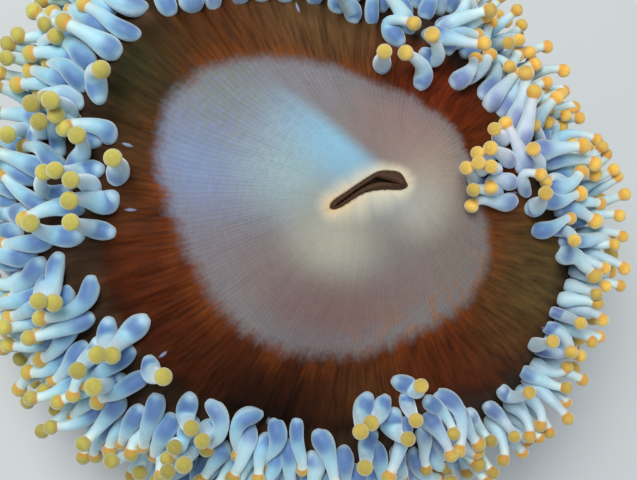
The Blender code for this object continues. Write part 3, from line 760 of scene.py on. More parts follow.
# %% Pleats, ridges, swellings, buds and warts
# Pleats: (number round the disc, phase, rise in mm), and where they begin and end along the outline.
PLEATS = [(61, 1.3, 0.16), (83, 4.0, 0.13), (47, 0.4, 0.16), (120, 2.2, 0.08)]
PLEATS_BEGIN, PLEATS_END = (-6 * MM, 16 * MM), (101 * MM, 111 * MM)
LENS_WIDE, LENS_LONG, LENS_RISE = 0.5 * MM, 1.7 * MM, 0.4 * MM
LENS_UPHILL, LENS_ASIDE, LENS_SHARE = (3, 5.5), 1.6, 0.16
RIDGE_WIDE, RIDGE_RISE = 1.5 * MM, 0.55 * MM
RIDGE_BEGINS, RIDGE_ENDS = (-13 * MM, -2 * MM), (0, 4 * MM)
SWELL_WIDTH, SWELL_RISE = 2.6 * MM, 0.8 * MM
FRONT_ROWS, NEAR_ALONG, NEAR_COSINE = 7 * MM, 16 * MM, 0.97
WARTS_ROUND, WART_PITCH, WART_RISE = 44, 4.6 * MM, 0.8 * MM
WART_WIDE, WART_LONG = 0.21, 0.24
WARTS_BEGIN, WARTS_END = (110 * MM, 116 * MM), (142 * MM, 154 * MM)


def pleats(along, turn):
    """A sum of sines of the angle, from nothing inside the grey edge to full height and back to nothing."""
    share = smooth_step(*PLEATS_BEGIN, along - ring_at(GREY_EDGE, turn))
    share = share * (1 - smooth_step(*PLEATS_END, along))
    return share * sum(rise * MM * np.sin(count * turn + phase) for count, phase, rise in PLEATS)


def root_relief(along, turn):
    """For each root, a bell round it. Those in front get a ridge too, a bell across that runs up to the root,
    and some of them a small lens uphill. Returns the height, and the weights of ridges and lenses."""
    height, ridge, lens = np.zeros_like(along), np.zeros_like(along), np.zeros_like(along)
    across = np.interp(along, OUTLINE_LENGTHS, OUTLINE[:, 0])
    in_front = root_along - ring_at(FIRST_ROOTS, root_turn) < FRONT_ROWS
    lens_at = rng.uniform(*LENS_UPHILL, len(root_along)) * MM
    lens_aside = rng.normal(0, LENS_ASIDE, len(root_along)) * MM
    shown = rng.random(len(root_along)) < LENS_SHARE * in_front
    for number, (at, angle, size) in enumerate(zip(root_along, root_turn, sizes)):
        near = np.nonzero((np.abs(along - at) < NEAR_ALONG) & (np.cos(turn - angle) > NEAR_COSINE))
        side = np.angle(np.exp(1j * (turn[near] - angle))) * across[near]
        down = along[near] - at
        bell = np.exp(-((side**2 + down**2) / (SWELL_WIDTH * size) ** 2))
        height[near] = np.maximum(height[near], SWELL_RISE * size * bell)
        if in_front[number]:
            run = smooth_step(*RIDGE_BEGINS, down) * (1 - smooth_step(*RIDGE_ENDS, down))
            ridge[near] = np.maximum(ridge[near], np.exp(-((side / RIDGE_WIDE) ** 2)) * run)
        if shown[number]:
            beside = (side - lens_aside[number]) / LENS_WIDE
            uphill = (down + lens_at[number]) / LENS_LONG
            lens[near] = np.maximum(lens[near], np.exp(-(beside**2 + uphill**2)))
    return height + RIDGE_RISE * ridge + LENS_RISE * lens, ridge, lens


def warts(along, turn):
    """Bells on a staggered lattice of angle and distance along the outline, fading out towards the sole."""
    line = np.floor(turn * WARTS_ROUND / (2 * math.pi))
    beside = turn * WARTS_ROUND / (2 * math.pi) - line - 0.5
    step = along / WART_PITCH + 0.5 * (line % 2)
    below = step - np.floor(step) - 0.5
    zone = smooth_step(*WARTS_BEGIN, along) * (1 - smooth_step(*WARTS_END, along))
    return zone * np.exp(-((beside / WART_WIDE) ** 2 + (below / WART_LONG) ** 2))


print("pleats round the disc:", [count for count, _, _ in PLEATS])

# %% The skin's points
# The throat's rings, from its floor up to the rim: (share of the hole's radius, depth in mm).
THROAT = [(0.35, 5.6), (0.75, 5.4), (0.94, 4.6), (0.98, 3), (0.99, 1.6), (1.0, 0.7), (1.02, 0.25)]
THROAT_FLOOR = 74.3 * MM
SOLE_SHARES = (0.97, 0.85, 0.65, 0.4, 0.15)
HOLE_FADE = 9 * MM


def skin_rows():
    """The grid's points before the common shape: rings of the throat, the outline's rows from the mouth to
    the sole, moved to the hole's edge near the mouth, and rings of the sole."""
    along, turn = np.meshgrid(rows, turns, indexing="ij")
    places = round_points(along, turn)
    hole = hole_at(turn)
    closer = (hole - HOLE) * (1 - smooth_step(HOLE, HOLE_FADE, along))
    places[..., 0] += closer * np.cos(turn)
    places[..., 1] += closer * np.sin(turn)
    throat = []
    for share, depth in THROAT:
        r = hole_at(turns) * share
        level = np.full(COLUMNS, RIM_HEIGHT - depth * MM)
        throat.append(np.stack([r * np.cos(turns), r * np.sin(turns), level], axis=-1))
    sole = [places[-1] * [share, share, 1] for share in SOLE_SHARES]
    return np.stack([*throat, *places, *sole])


def grid_normals(places):
    """Normals of a grid closed round its columns: the cross product of the differences down and across it."""
    down = np.gradient(places, axis=0)
    across = np.roll(places, -1, axis=1) - np.roll(places, 1, axis=1)
    return unit(np.cross(down, across))


throat_rows, sole_rows = len(THROAT), len(SOLE_SHARES)
skin_places = shaped(skin_rows())
body = slice(throat_rows, len(skin_places) - sole_rows)
grid_along, grid_turn = np.meshgrid(rows, turns, indexing="ij")
root_height, ridge_weight, bud_weight = root_relief(grid_along, grid_turn)
wart_weight = warts(grid_along, grid_turn)
relief = pleats(grid_along, grid_turn) + root_height + WART_RISE * wart_weight
skin_places[body] += grid_normals(skin_places)[body] * relief[..., None]
print(f"relief from {relief.min() / MM:.2f} to {relief.max() / MM:.2f} mm on {skin_places.shape[0]} rows")

# %% [markdown]
# ## Helpers for meshes
#
# Each piece is a grid whose columns close into a ring, so its faces can be numbered by arithmetic.
# Faces are listed so that their corners turn anticlockwise seen from outside, which is what makes a
# surface face outwards. Blender takes points, corners and attributes as flat arrays.

# %% Faces, meshes and attributes
def ring_faces(row_count, columns):
    """Quads between rows k and k + 1 of a grid, with column j + 1 taken modulo the number of columns."""
    row, column = np.meshgrid(np.arange(row_count - 1), np.arange(columns), indexing="ij")
    beside = (column + 1) % columns
    first, second = row * columns, (row + 1) * columns
    corners = [first + column, second + column, second + beside, first + beside]
    return np.stack(corners, axis=-1).reshape(-1, 4)


def surface(name, places, face_groups):
    """A mesh of the points. Its faces come as arrays of point numbers, with as many columns as corners."""
    mesh = bpy.data.meshes.new(name)
    corners = np.concatenate([group.ravel() for group in face_groups]).astype(np.int32)
    sizes_of = np.concatenate([np.full(len(group), group.shape[1]) for group in face_groups])
    starts = np.concatenate([[0], np.cumsum(sizes_of)[:-1]]).astype(np.int32)
    mesh.vertices.add(len(places))
    mesh.vertices.foreach_set("co", places.astype(np.float32).ravel())
    mesh.loops.add(len(corners))
    mesh.loops.foreach_set("vertex_index", corners)
    mesh.polygons.add(len(starts))
    mesh.polygons.foreach_set("loop_start", starts)
    mesh.update(calc_edges=True)
    mesh.validate()
    mesh.shade_smooth()
    piece = bpy.data.objects.new(name, mesh)
    bpy.context.scene.collection.objects.link(piece)
    return piece


def keep_values(piece, **values):
    """Stores a number, or a row of three, for each point, which materials and modifiers carry along."""
    for name, array in values.items():
        is_vector = array.ndim > 1 and array.shape[-1] == 3
        kind, field = ("FLOAT_VECTOR", "vector") if is_vector else ("FLOAT", "value")
        made = piece.data.attributes.new(name, kind, "POINT")
        made.data.foreach_set(field, np.ascontiguousarray(array, np.float32).ravel())


def bake_map(piece, corners):
    """The map that the piece's texture is painted on: one place in the unit square for each corner."""
    layer = piece.data.uv_layers.new(name="OFBake")
    layer.uv.foreach_set("vector", np.ascontiguousarray(corners, np.float32).ravel())


def bounds_of(places):
    """The least and the greatest x, y and z of some points, as text."""
    flat = places.reshape(-1, 3) / MM
    return "x {:.1f} to {:.1f}, y {:.1f} to {:.1f}, z {:.1f} to {:.1f} mm".format(
        *np.stack([flat.min(axis=0), flat.max(axis=0)], axis=1).ravel())


print("skin", bounds_of(skin_places))

# %% The skin's mesh
top_point = shaped(np.array([[0, 0, THROAT_FLOOR]]))
sole_point = np.zeros((1, 3))
skin_points = np.concatenate([skin_places.reshape(-1, 3), top_point, sole_point])
skin_quads = ring_faces(len(skin_places), COLUMNS)
ring = np.arange(COLUMNS)
beside_ring = (ring + 1) % COLUMNS
last_row = (len(skin_places) - 1) * COLUMNS
top_number, sole_number = len(skin_points) - 2, len(skin_points) - 1
top_fan = np.stack([np.full(COLUMNS, top_number), ring, beside_ring], axis=1)
sole_fan = np.stack([np.full(COLUMNS, sole_number), last_row + beside_ring, last_row + ring], axis=1)
skin = surface("skin", skin_points, [skin_quads, top_fan, sole_fan])


def whole_grid(values, before, after):
    """The outline rows' values, with one constant for the throat and its middle, another for the sole."""
    head = np.full((throat_rows, COLUMNS), before)
    tail = np.full((sole_rows, COLUMNS), after)
    return np.concatenate([np.concatenate([head, values, tail]).ravel(), [before, after]])


way = np.stack([np.cos(turns), np.sin(turns), 0 * turns], axis=1)
keep_values(
    skin,
    way=np.concatenate([np.tile(way, (len(skin_places), 1)), np.zeros((2, 3))]),
    along=whole_grid(grid_along / MM, 1.5, 160),
    rim=whole_grid((grid_along - ring_at(GREY_EDGE, grid_turn)) / MM, -40, 120),
    root=whole_grid((grid_along - ring_at(FIRST_ROOTS, grid_turn)) / MM, -60, 100),
    ridge=whole_grid(ridge_weight, 0, 0),
    bud=whole_grid(bud_weight, 0, 0),
    wart=whole_grid(wart_weight, 0, 0),
)
triangles = sum(len(face.vertices) - 2 for face in skin.data.polygons)
print("skin", len(skin.data.polygons), "faces,", triangles, "triangles")

# %% [markdown]
# ## Where the skin's texture would be painted
#
# A texture needs the skin laid flat. The disc opens into a round patch, with the mouth in its
# middle and the distance along the outline as radius. The underside and the column are cut into
# two half turns, laid as strips beside it, and the sole is a small round patch in the last corner.

# %% The skin laid flat
DISC_CENTRE, DISC_SHARE = np.array([0.36, 0.64]), 0.35
SOLE_CENTRE, SOLE_SHARE = np.array([0.85, 0.13]), 0.12
STRIP_LONG, STRIP_WIDE, STRIP_AT, UPRIGHT_AT = 0.62, 0.25, 0.01, (0.73, 0.3)
THROAT_REACH, SOLE_REACH = (0.3, 2.8), (1, 9)


def skin_map():
    """Polar places for the faces of disc and sole, and angle against distance for the two strips between."""
    throat_reach = np.linspace(*THROAT_REACH, throat_rows) * MM
    sole_reach = rows[-1] + np.linspace(*SOLE_REACH, sole_rows) * MM
    reach = np.concatenate([throat_reach, rows, sole_reach])
    split = int(np.searchsorted(reach, OUTLINE_LENGTHS[WIDEST]))
    row, column = np.divmod(np.arange(len(skin_quads)), COLUMNS)
    r = row[:, None] + np.array([0, 1, 1, 0])
    c = column[:, None] + np.array([0, 0, 1, 1])
    circle = np.stack([np.cos(c * 2 * math.pi / COLUMNS), np.sin(c * 2 * math.pi / COLUMNS)], axis=-1)
    disc = DISC_CENTRE + circle * (DISC_SHARE * reach[r] / reach[split])[..., None]
    half = column // (COLUMNS // 2)
    long = STRIP_AT + STRIP_LONG * (c - half[:, None] * (COLUMNS // 2)) / (COLUMNS // 2)
    wide = STRIP_AT + STRIP_WIDE * (reach[r] - reach[split]) / (rows[-1] - reach[split])
    strip = np.stack([long, wide], axis=-1)
    upright = np.stack([wide + UPRIGHT_AT[0], long + UPRIGHT_AT[1]], axis=-1)
    strips = np.where(half[:, None, None] == 0, strip, upright)
    sole = SOLE_CENTRE + circle * (SOLE_SHARE * (len(skin_places) - r) / (sole_rows + 1))[..., None]
    first_sole = throat_rows + len(rows) - 1
    row = row[:, None, None]
    places = np.where(row < split, disc, np.where(row < first_sole, strips, sole))
    ring_circle = np.stack([np.cos(turns), np.sin(turns)], axis=1)
    beside = np.roll(ring_circle, -1, axis=0)
    inner = DISC_SHARE * reach[0] / reach[split]
    top = np.stack([0 * ring_circle, ring_circle * inner, beside * inner], axis=1) + DISC_CENTRE
    outer = SOLE_SHARE / (sole_rows + 1)
    bottom = np.stack([0 * ring_circle, beside * outer, ring_circle * outer], axis=1) + SOLE_CENTRE
    return np.concatenate([places.reshape(-1, 2), top.reshape(-1, 2), bottom.reshape(-1, 2)])


skin_corners = skin_map()
bake_map(skin, skin_corners)
print("skin map from", skin_corners.min(axis=0).round(3), "to", skin_corners.max(axis=0).round(3))

# %% [markdown]
# ## The lips
#
# Two thick dark lips meet along the slit. They are pleated crosswise, which gives them a scalloped
# edge. A tube with an oval section follows the slit's rim: thin along the left leg, fat at the right
# end, where the upper lip also stands back and opens a little pit. Even steps of the angle would
# crowd the pleats at the slit's two ends, so the steps are made even along the rim itself.

# %% The lips' points
LIP_PLEATS, PLEAT_OUT, PLEAT_UP = 64, 0.17 * MM, 0.13 * MM
SLOW_PLEATS, SLOW_SHARE = 23, 0.35
LIP_COLUMNS, LIP_SIDES = 512, 20
LIP_GAP, LIP_OVER = 0.12 * MM, 0.05 * MM
PIT_SHARE, PIT_SPREAD, PIT_OPEN, PIT_DEEP = 0.4, 0.16, 0.8 * MM, 0.5 * MM
LIP_MIDDLE, LIP_HALF_HEIGHT, LEG_DROP = 79.3 * MM, 2.0 * MM, 0.4 * MM
LEG_HEIGHT, HEIGHT_SWING = 0.8, 0.2
PIT_SIDE, HEIGHT_GROWS, LEG_ENDS = (-0.1, 0.5), (-0.4, 0.8), (-0.95, -0.5)


def even_turns(count):
    """Angles whose places on the mouth's rim lie evenly along it: the inverse of the rim's walked length."""
    fine = np.linspace(0, 2 * math.pi, 4000)
    r = hole_at(fine)
    rim = shaped(np.stack([r * np.cos(fine), r * np.sin(fine), 0 * fine + RIM_HEIGHT], axis=1))
    walked = path_lengths(rim)
    return np.interp(np.linspace(0, walked[-1], count, endpoint=False), walked, fine)


def lip_points():
    """An oval section (cosine across, sine up) carried round the slit. Two cosines of the length walked along
    the rim make the pleats, and a bell opens the pit on the upper side."""
    turn = even_turns(LIP_COLUMNS)
    step = np.arange(LIP_COLUMNS) / LIP_COLUMNS
    pleat = np.cos(2 * math.pi * LIP_PLEATS * step)
    pleat = pleat + SLOW_SHARE * np.cos(2 * math.pi * SLOW_PLEATS * step + 1)
    share = np.cos(turn - SLIT_TURN)
    upper_side = smooth_step(*PIT_SIDE, np.sin(turn - SLIT_TURN))
    pit = np.exp(-(((share - PIT_SHARE) / PIT_SPREAD) ** 2)) * upper_side
    inner = LIP_GAP + PIT_OPEN * pit
    outer = hole_at(turn) + LIP_OVER + PLEAT_OUT * pleat
    around = np.linspace(0, 2 * math.pi, LIP_SIDES, endpoint=False)[:, None]
    r = (inner + outer) / 2 + (outer - inner) / 2 * np.cos(around)
    height = LIP_HALF_HEIGHT * (LEG_HEIGHT + HEIGHT_SWING * smooth_step(*HEIGHT_GROWS, share))
    height = height + PLEAT_UP * pleat - PIT_DEEP * pit
    z = LIP_MIDDLE + height * np.sin(around) - LEG_DROP * (1 - smooth_step(*LEG_ENDS, share))
    return np.stack([r * np.cos(turn), r * np.sin(turn), z], axis=-1), around, pleat


lip_grid, lip_around, lip_pleat = lip_points()
lip_places = shaped(lip_grid)
lip_quads = ring_faces(LIP_SIDES + 1, LIP_COLUMNS)[:, ::-1] % (LIP_SIDES * LIP_COLUMNS)
lips = surface("lips_pleated", lip_places.reshape(-1, 3), [lip_quads])
keep_values(
    lips,
    crest=np.tile(lip_pleat, (LIP_SIDES, 1)).ravel(),
    up=np.repeat(np.sin(lip_around), LIP_COLUMNS, axis=1).ravel(),
    inward=np.repeat(-np.cos(lip_around), LIP_COLUMNS, axis=1).ravel(),
)
lip_row, lip_column = np.divmod(np.arange(len(lip_quads)), LIP_COLUMNS)
lip_u = (lip_column[:, None] + np.array([1, 1, 0, 0])) / LIP_COLUMNS
lip_v = (lip_row[:, None] + np.array([0, 1, 1, 0])) / LIP_SIDES
bake_map(lips, np.stack([0.01 + 0.98 * lip_u, 0.01 + 0.98 * lip_v], axis=-1).reshape(-1, 2))
print("lips", bounds_of(lip_places))

# %% [markdown]
# ## The tentacles' flesh
#
# A tentacle is a tube of changing width along its settled line. Six sides and eleven rings are
# enough, because a Subdivision Surface rounds them. It also shrinks them: across, a hexagon comes
# out at 5/6 of its radius, and along, every ring moves to the mean (before + 4 own + after) / 6. So
# the rings are made that much wider beforehand. The sides must not twist on the way, and so the
# first ring's frame is carried from ring to ring, each time made square to the new direction.

# %% Tubes along the lines
TUBE_SIDES, HEXAGON = 6, 6 / 5
RING_STAGES = np.array([-0.11, -0.06, 0.04, 0.18, 0.36, 0.58, 0.745, 0.79, 0.86, 0.94, 1.0])


def tube_frames(lines):
    """Two directions square to each line: the last ring's first one, less its part along the new way."""
    tangent = unit(np.gradient(lines, axis=1))
    start = np.cross(tangent[:, 0], [0.0, 0.0, 1.0]) + 1e-6
    one = [unit(start)]
    for k in range(1, lines.shape[1]):
        ahead = tangent[:, k]
        one.append(unit(one[-1] - ahead * (one[-1] * ahead).sum(axis=1, keepdims=True)))
    one = np.stack(one, axis=1)
    return one, np.cross(tangent, one), tangent


def at_shares(lines, shares):
    """Points at shares of each line's length, from the two line points on either side."""
    place = shares * (lines.shape[1] - 1)
    low = np.clip(np.floor(place).astype(int), 0, lines.shape[1] - 2)
    part = (place - low)[..., None]
    own = np.arange(len(lines))[:, None]
    return lines[own, low] * (1 - part) + lines[own, low + 1] * part


def widened(widths):
    """Widths whose smoothed row comes back to the given ones, found by adding what is missing, four times."""
    made = widths.copy()
    for _ in range(4):
        smooth = (made[:, :-2] + 4 * made[:, 1:-1] + made[:, 2:]) / 6
        made[:, 1:-1] += widths[:, 1:-1] - smooth
    return made


def tentacle_tubes(lines, long, size, plump):
    """Rings round each line, and how far each of their points faces out of the skin: the cosine of the angle
    to the normal at the root, less the normal's part along the line."""
    size, plump = size[:, None], plump[:, None]
    centres = at_shares(lines, share_at(RING_STAGES, long[:, None], size))
    one, two, tangent = tube_frames(centres)
    widths = widened(width_at(RING_STAGES, size, plump)) * HEXAGON
    round_way = np.arange(TUBE_SIDES) * 2 * math.pi / TUBE_SIDES
    across = one[:, :, None] * np.cos(round_way)[:, None] + two[:, :, None] * np.sin(round_way)[:, None]
    normal = surface_at(root_along, root_turn)[1]
    level = unit(normal[:, None] - tangent * (tangent * normal[:, None]).sum(axis=2, keepdims=True))
    return centres[:, :, None] + across * widths[..., None, None], (across * level[:, :, None]).sum(axis=3)


tubes, facing_out = tentacle_tubes(paths, lengths, sizes, plumps)
print("tubes", tubes.shape, bounds_of(tubes))

# %% One piece for each sector
# Places in a tube's cell of the map, as shares of the cell.
WALL_AT, WALL_WIDE, WALL_HIGH = 0.05, 0.7, 0.9
END_RADIUS, FIRST_END, LAST_END = 0.07, [0.88, 0.2], [0.88, 0.8]
ROUNDING_LEVELS = 2


def tube_faces(count, rings, sides):
    """A tube's quads and two end faces, repeated for each tube with its first point's number added."""
    quads = ring_faces(rings, sides)[:, ::-1]
    ends = np.stack([np.arange(sides)[::-1], (rings - 1) * sides + np.arange(sides)])
    start = (np.arange(count) * rings * sides)[:, None, None]
    return (quads + start).reshape(-1, 4), (ends + start).reshape(-1, sides)


def tube_map(count, rings, sides):
    """A cell of a square table for each tube: the wall as a rectangle, the ends as small round patches."""
    across = math.ceil(math.sqrt(count))
    row, column = np.divmod(np.arange((rings - 1) * sides), sides)
    u = (column[:, None] + np.array([1, 1, 0, 0])) / sides
    v = (row[:, None] + np.array([0, 1, 1, 0])) / (rings - 1)
    wall = np.stack([WALL_AT + WALL_WIDE * u, WALL_AT + WALL_HIGH * v], axis=-1)
    angle = np.arange(sides) * 2 * math.pi / sides
    circle = np.stack([np.cos(angle), np.sin(angle)], axis=1) * END_RADIUS
    ends = np.stack([circle[::-1] + FIRST_END, circle + LAST_END])
    cell = np.stack(np.divmod(np.arange(count), across)[::-1], axis=1)[:, None, None]
    walls, caps = (wall + cell) / across, (ends + cell) / across
    return np.concatenate([walls.reshape(-1, 2), caps.reshape(-1, 2)])


tentacle_sector = np.floor((root_turn % (2 * math.pi)) / SPAN).astype(int)
tentacles = []
for sector in range(SECTORS):
    chosen = np.nonzero(tentacle_sector == sector)[0]
    tube = tubes[chosen]
    rings = tube.shape[1]
    faces = tube_faces(len(chosen), rings, TUBE_SIDES)
    piece = surface(f"tentacles_{sector + 1:02d}", tube.reshape(-1, 3), faces)
    tone = rng.normal(0, 1, len(chosen))
    keep_values(
        piece,
        stage=np.tile(np.repeat(RING_STAGES, TUBE_SIDES), len(chosen)),
        outside=facing_out[chosen].ravel(),
        tone=np.repeat(tone, rings * TUBE_SIDES),
    )
    bake_map(piece, tube_map(len(chosen), rings, TUBE_SIDES))
    rounding = piece.modifiers.new("rounding", "SUBSURF")
    rounding.levels = rounding.render_levels = ROUNDING_LEVELS
    tentacles.append(piece)
print([f"{piece.name}: {len(piece.data.polygons)}" for piece in tentacles[:3]], "faces before rounding")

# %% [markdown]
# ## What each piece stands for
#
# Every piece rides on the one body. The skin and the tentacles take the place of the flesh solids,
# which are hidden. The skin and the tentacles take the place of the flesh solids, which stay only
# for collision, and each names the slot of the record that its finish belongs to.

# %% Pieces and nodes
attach(skin, "root")
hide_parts("foot", "column", "oral_disc", *[f"crown_{k + 1:02d}" for k in range(SECTORS)])
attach(lips, "root")
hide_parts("lips")
for number, piece in enumerate(tentacles):
    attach(piece, "root")
    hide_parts(f"crown_{number + 1:02d}")
print(len(tentacles) + 2, "pieces")

# %% [markdown]
# ## A small language for materials
#
# A material is a tree of nodes, and sums and products of values are most of it. A small class wraps
# a socket, so that such a sum can be written as in plain Python and adds its own nodes. Everything
# else comes from one method, which takes a node's type, its settings, and what goes into it.

# %% Values and finishes
class Value:
    """A socket's output. Arithmetic with it adds Math nodes; numbers alone never reach this class."""

    def __init__(self, finish, socket):
        self.finish, self.socket = finish, socket

    def math(self, operation, *values):
        """One Math node."""
        return self.finish.node("ShaderNodeMath", {"operation": operation}, dict(enumerate(values)))

    def __add__(self, other):
        return self.math("ADD", self, other)

    def __sub__(self, other):
        return self.math("SUBTRACT", self, other)

    def __rsub__(self, other):
        return self.math("SUBTRACT", other, self)

    def __mul__(self, other):
        return self.math("MULTIPLY", self, other)

    __radd__, __rmul__ = __add__, __mul__

    def sine(self):
        """The sine of the value, in radians."""
        return self.math("SINE", self)


class Finish:
    """A material being made. Most of its methods add one node and return its output as a Value."""

    def __init__(self, name):
        self.material = bpy.data.materials.new(name)
        self.material.use_nodes = True
        self.tree = self.material.node_tree
        self.shader = self.tree.nodes["Principled BSDF"]

    def put(self, value, socket):
        """Links a Value to a socket, or sets a number, a colour or a vector on it."""
        if isinstance(value, Value):
            self.tree.links.new(value.socket, socket)
        elif isinstance(value, tuple) and len(value) == 3 and socket.type == "RGBA":
            socket.default_value = (*value, 1)
        else:
            socket.default_value = value

    def node(self, kind, settings, inputs, output=0):
        """A node of a type, with its settings first, then the values or links of its sockets."""
        made = self.tree.nodes.new(kind)
        for name, value in settings.items():
            if name == "stops":
                elements = made.color_ramp.elements
                for number, (at, colour) in enumerate(value):
                    stop = elements[number] if number < 2 else elements.new(at)
                    stop.position, stop.color = at, (*colour, 1)
            else:
                setattr(made, name, value)
        for name, value in inputs.items():
            self.put(value, made.inputs[name])
        return Value(self, made.outputs[output])

    def stored(self, name, output="Fac"):
        """A number or a vector that keep_values has stored on the points."""
        return self.node("ShaderNodeAttribute", {"attribute_name": name}, {}, output)

    def parts(self, vector):
        """The three numbers of a vector."""
        x = self.node("ShaderNodeSeparateXYZ", {}, {0: vector})
        return [Value(self, socket) for socket in x.socket.node.outputs]

    def vector(self, x, y, z):
        """A vector of three values."""
        return self.node("ShaderNodeCombineXYZ", {}, {0: x, 1: y, 2: z})

    def near(self, place, middle, reach):
        """1 at a place in millimetres, falling smoothly to 0 at a reach from it."""
        middle = tuple(value * MM for value in middle)
        far = self.node("ShaderNodeVectorMath", {"operation": "DISTANCE"}, {0: place, 1: middle}, 1)
        return 1 - self.rise(0.0, reach * MM, far)

    def mix(self, factor, one, two):
        """The first colour at factor 0, the second at factor 1."""
        return self.node("ShaderNodeMix", {"data_type": "RGBA"}, {0: factor, 6: one, 7: two}, 2)

    def rise(self, low, high, value):
        """0 below low, 1 above high, with a smooth rise between them; a fall where low is above high."""
        inputs = {"Value": value, "From Min": low, "From Max": high}
        return self.node("ShaderNodeMapRange", {"interpolation_type": "SMOOTHSTEP"}, inputs)

    def noise(self, vector, scale, detail=2.0, roughness=0.5):
        """Soft noise about 0.5: scale cells for each unit of the vector, and detail finer layers on them."""
        inputs = {"Vector": vector, "Scale": scale, "Detail": detail, "Roughness": roughness}
        return self.node("ShaderNodeTexNoise", {}, inputs)

    def brighter(self, colour, value):
        """The colour times a value, which keeps its hue."""
        return self.node("ShaderNodeVectorMath", {"operation": "SCALE"}, {"Vector": colour, "Scale": value})

    def set(self, **values):
        """Sets or links the shader's own sockets, with _ for the space in their names."""
        for name, value in values.items():
            self.put(value, self.shader.inputs[name.replace("_", " ")])

    def bump(self, height, distance, strength=1.0):
        """Shading as if the surface rose by height times distance."""
        inputs = {"Height": height, "Distance": distance, "Strength": strength}
        self.put(self.node("ShaderNodeBump", {}, inputs), self.shader.inputs["Normal"])


def rgb(red, green, blue):
    """A screen colour, 0 to 255, as the light it stands for: the sRGB curve, undone."""
    share = np.array([red, green, blue]) / 255
    light = np.where(share <= 0.04045, share / 12.92, ((share + 0.055) / 1.055) ** 2.4)
    return tuple(float(value) for value in light)


print("middle grey is", [round(value, 3) for value in rgb(128, 128, 128)])

# %% [markdown]
# ## The skin's finish
#
# The middle of the disc is pale and finely lined, the lines running out from the slit. Then, over a
# soft, speckled edge, comes a velvety brown, darkened by painted shade towards the tentacles. All this
# follows the body, so the material reads the values stored on the grid: direction, distance along the
# outline, and distance from the two rings. Where a tinge only fills a region, a soft spot on the body mixes
# it.

# %% Streaks that run out from the mouth
flesh = Finish("anemone_skin")
place = flesh.node("ShaderNodeTexCoord", {}, {}, "Object")
way_x, way_y, _ = flesh.parts(flesh.stored("way", "Vector"))
along = flesh.stored("along")
angle = flesh.node("ShaderNodeMath", {"operation": "ARCTAN2"}, {0: way_y, 1: way_x})


def streaks(round_count, run, shift, detail=2.0):
    """Noise on a cylinder, so no seam shows: about round_count cells round the body, each run mm long."""
    scale = round_count / (2 * math.pi)
    return flesh.noise(flesh.vector(way_x * scale, way_y * scale, along * (1 / run) + shift), 1.0, detail)


broad = streaks(70, 22, 3.1)
fine = streaks(330, 8, 7.7, 3.0)
patchy = streaks(26, 9, 11.3)
speckle = flesh.noise(place, 900.0, 3.0, 0.7)
LINES = 192
wobble = streaks(40, 30, 1.7) * 5.0
lines = (angle * LINES + wobble).sine()
print("streaks of three sizes and", LINES, "fine lines")

# %% [markdown]
# The middle of the disc: blue-grey and greenish on one side, beige on the other, a bright wedge of
# painted highlight above the mouth, and below it a darker mauve arc, partly the disc's own mauve and
# partly painted shade, as if a shallow bowl were lit from one side. A creamy glow surrounds the mouth
# and turns apricot beside the left leg of the slit.

# %% The pale middle
def tinted(colour, tinges):
    """Each tinge in turn mixed in round its place: (x, y, z in mm), reach in mm, colour, share."""
    for middle_of, reach, tinge, share in tinges:
        colour = flesh.mix(flesh.near(place, middle_of, reach) * share, colour, tinge)
    return colour


MIDDLE_TINGES = [
    ((-40, 16, 76), 34, rgb(122, 144, 178), 0.95), ((-30, 35, 76), 26, rgb(120, 132, 124), 0.85),
    ((-13, 13, 79), 22, rgb(156, 184, 186), 0.85),
    ((-2, -5, 80), 19, rgb(176, 176, 160), 0.85), ((27, 13, 79), 22, rgb(178, 164, 148), 0.8),
    ((33, -6, 78), 26, rgb(128, 118, 110), 0.8), ((-8, -32, 78), 26, rgb(104, 98, 100), 0.8),
    ((-31, -10, 77), 22, rgb(124, 114, 116), 0.7), ((18, 27, 77), 26, rgb(146, 116, 112), 0.65),
    ((-8, 38, 76), 22, rgb(128, 126, 134), 0.7), ((21, 4, 79), 14, rgb(180, 180, 170), 0.7),
]
LILAC_GREY, SAND_BROWN = rgb(134, 134, 186), rgb(150, 104, 66)
# The light blue wedge colour below stands for a painted highlight.
GREY, MAUVE_AND_SHADE, EDGE_GREY, WEDGE_HIGHLIGHT = rgb(128, 122, 120), rgb(122, 92, 90), rgb(118, 116, 124), rgb(140, 188, 214)
rim = flesh.stored("rim")
middle = tinted(GREY, MIDDLE_TINGES)
# The bright patch of painted highlight ends at a straight line that runs from the mouth's upper corner to the
# left.
place_x, place_y, _ = flesh.parts(place)
past_line = place_x * 0.62 + place_y * 0.784
highlight_wedge = flesh.rise(-1 * MM, 13 * MM, past_line) * (1 - flesh.rise(15 * MM, 20 * MM, past_line))
middle = flesh.mix(highlight_wedge * flesh.near(place, (0, 20, 79), 30) * 0.95, middle, WEDGE_HIGHLIGHT)
flecks = flesh.rise(0.42, 0.7, flesh.noise(flesh.vector(way_x * 34.0, way_y * 34.0, along * 0.9), 1.0, 3.0))
middle = flesh.mix(flecks * flesh.near(place, (-34, 22, 76), 44) * 0.5, middle, LILAC_GREY)
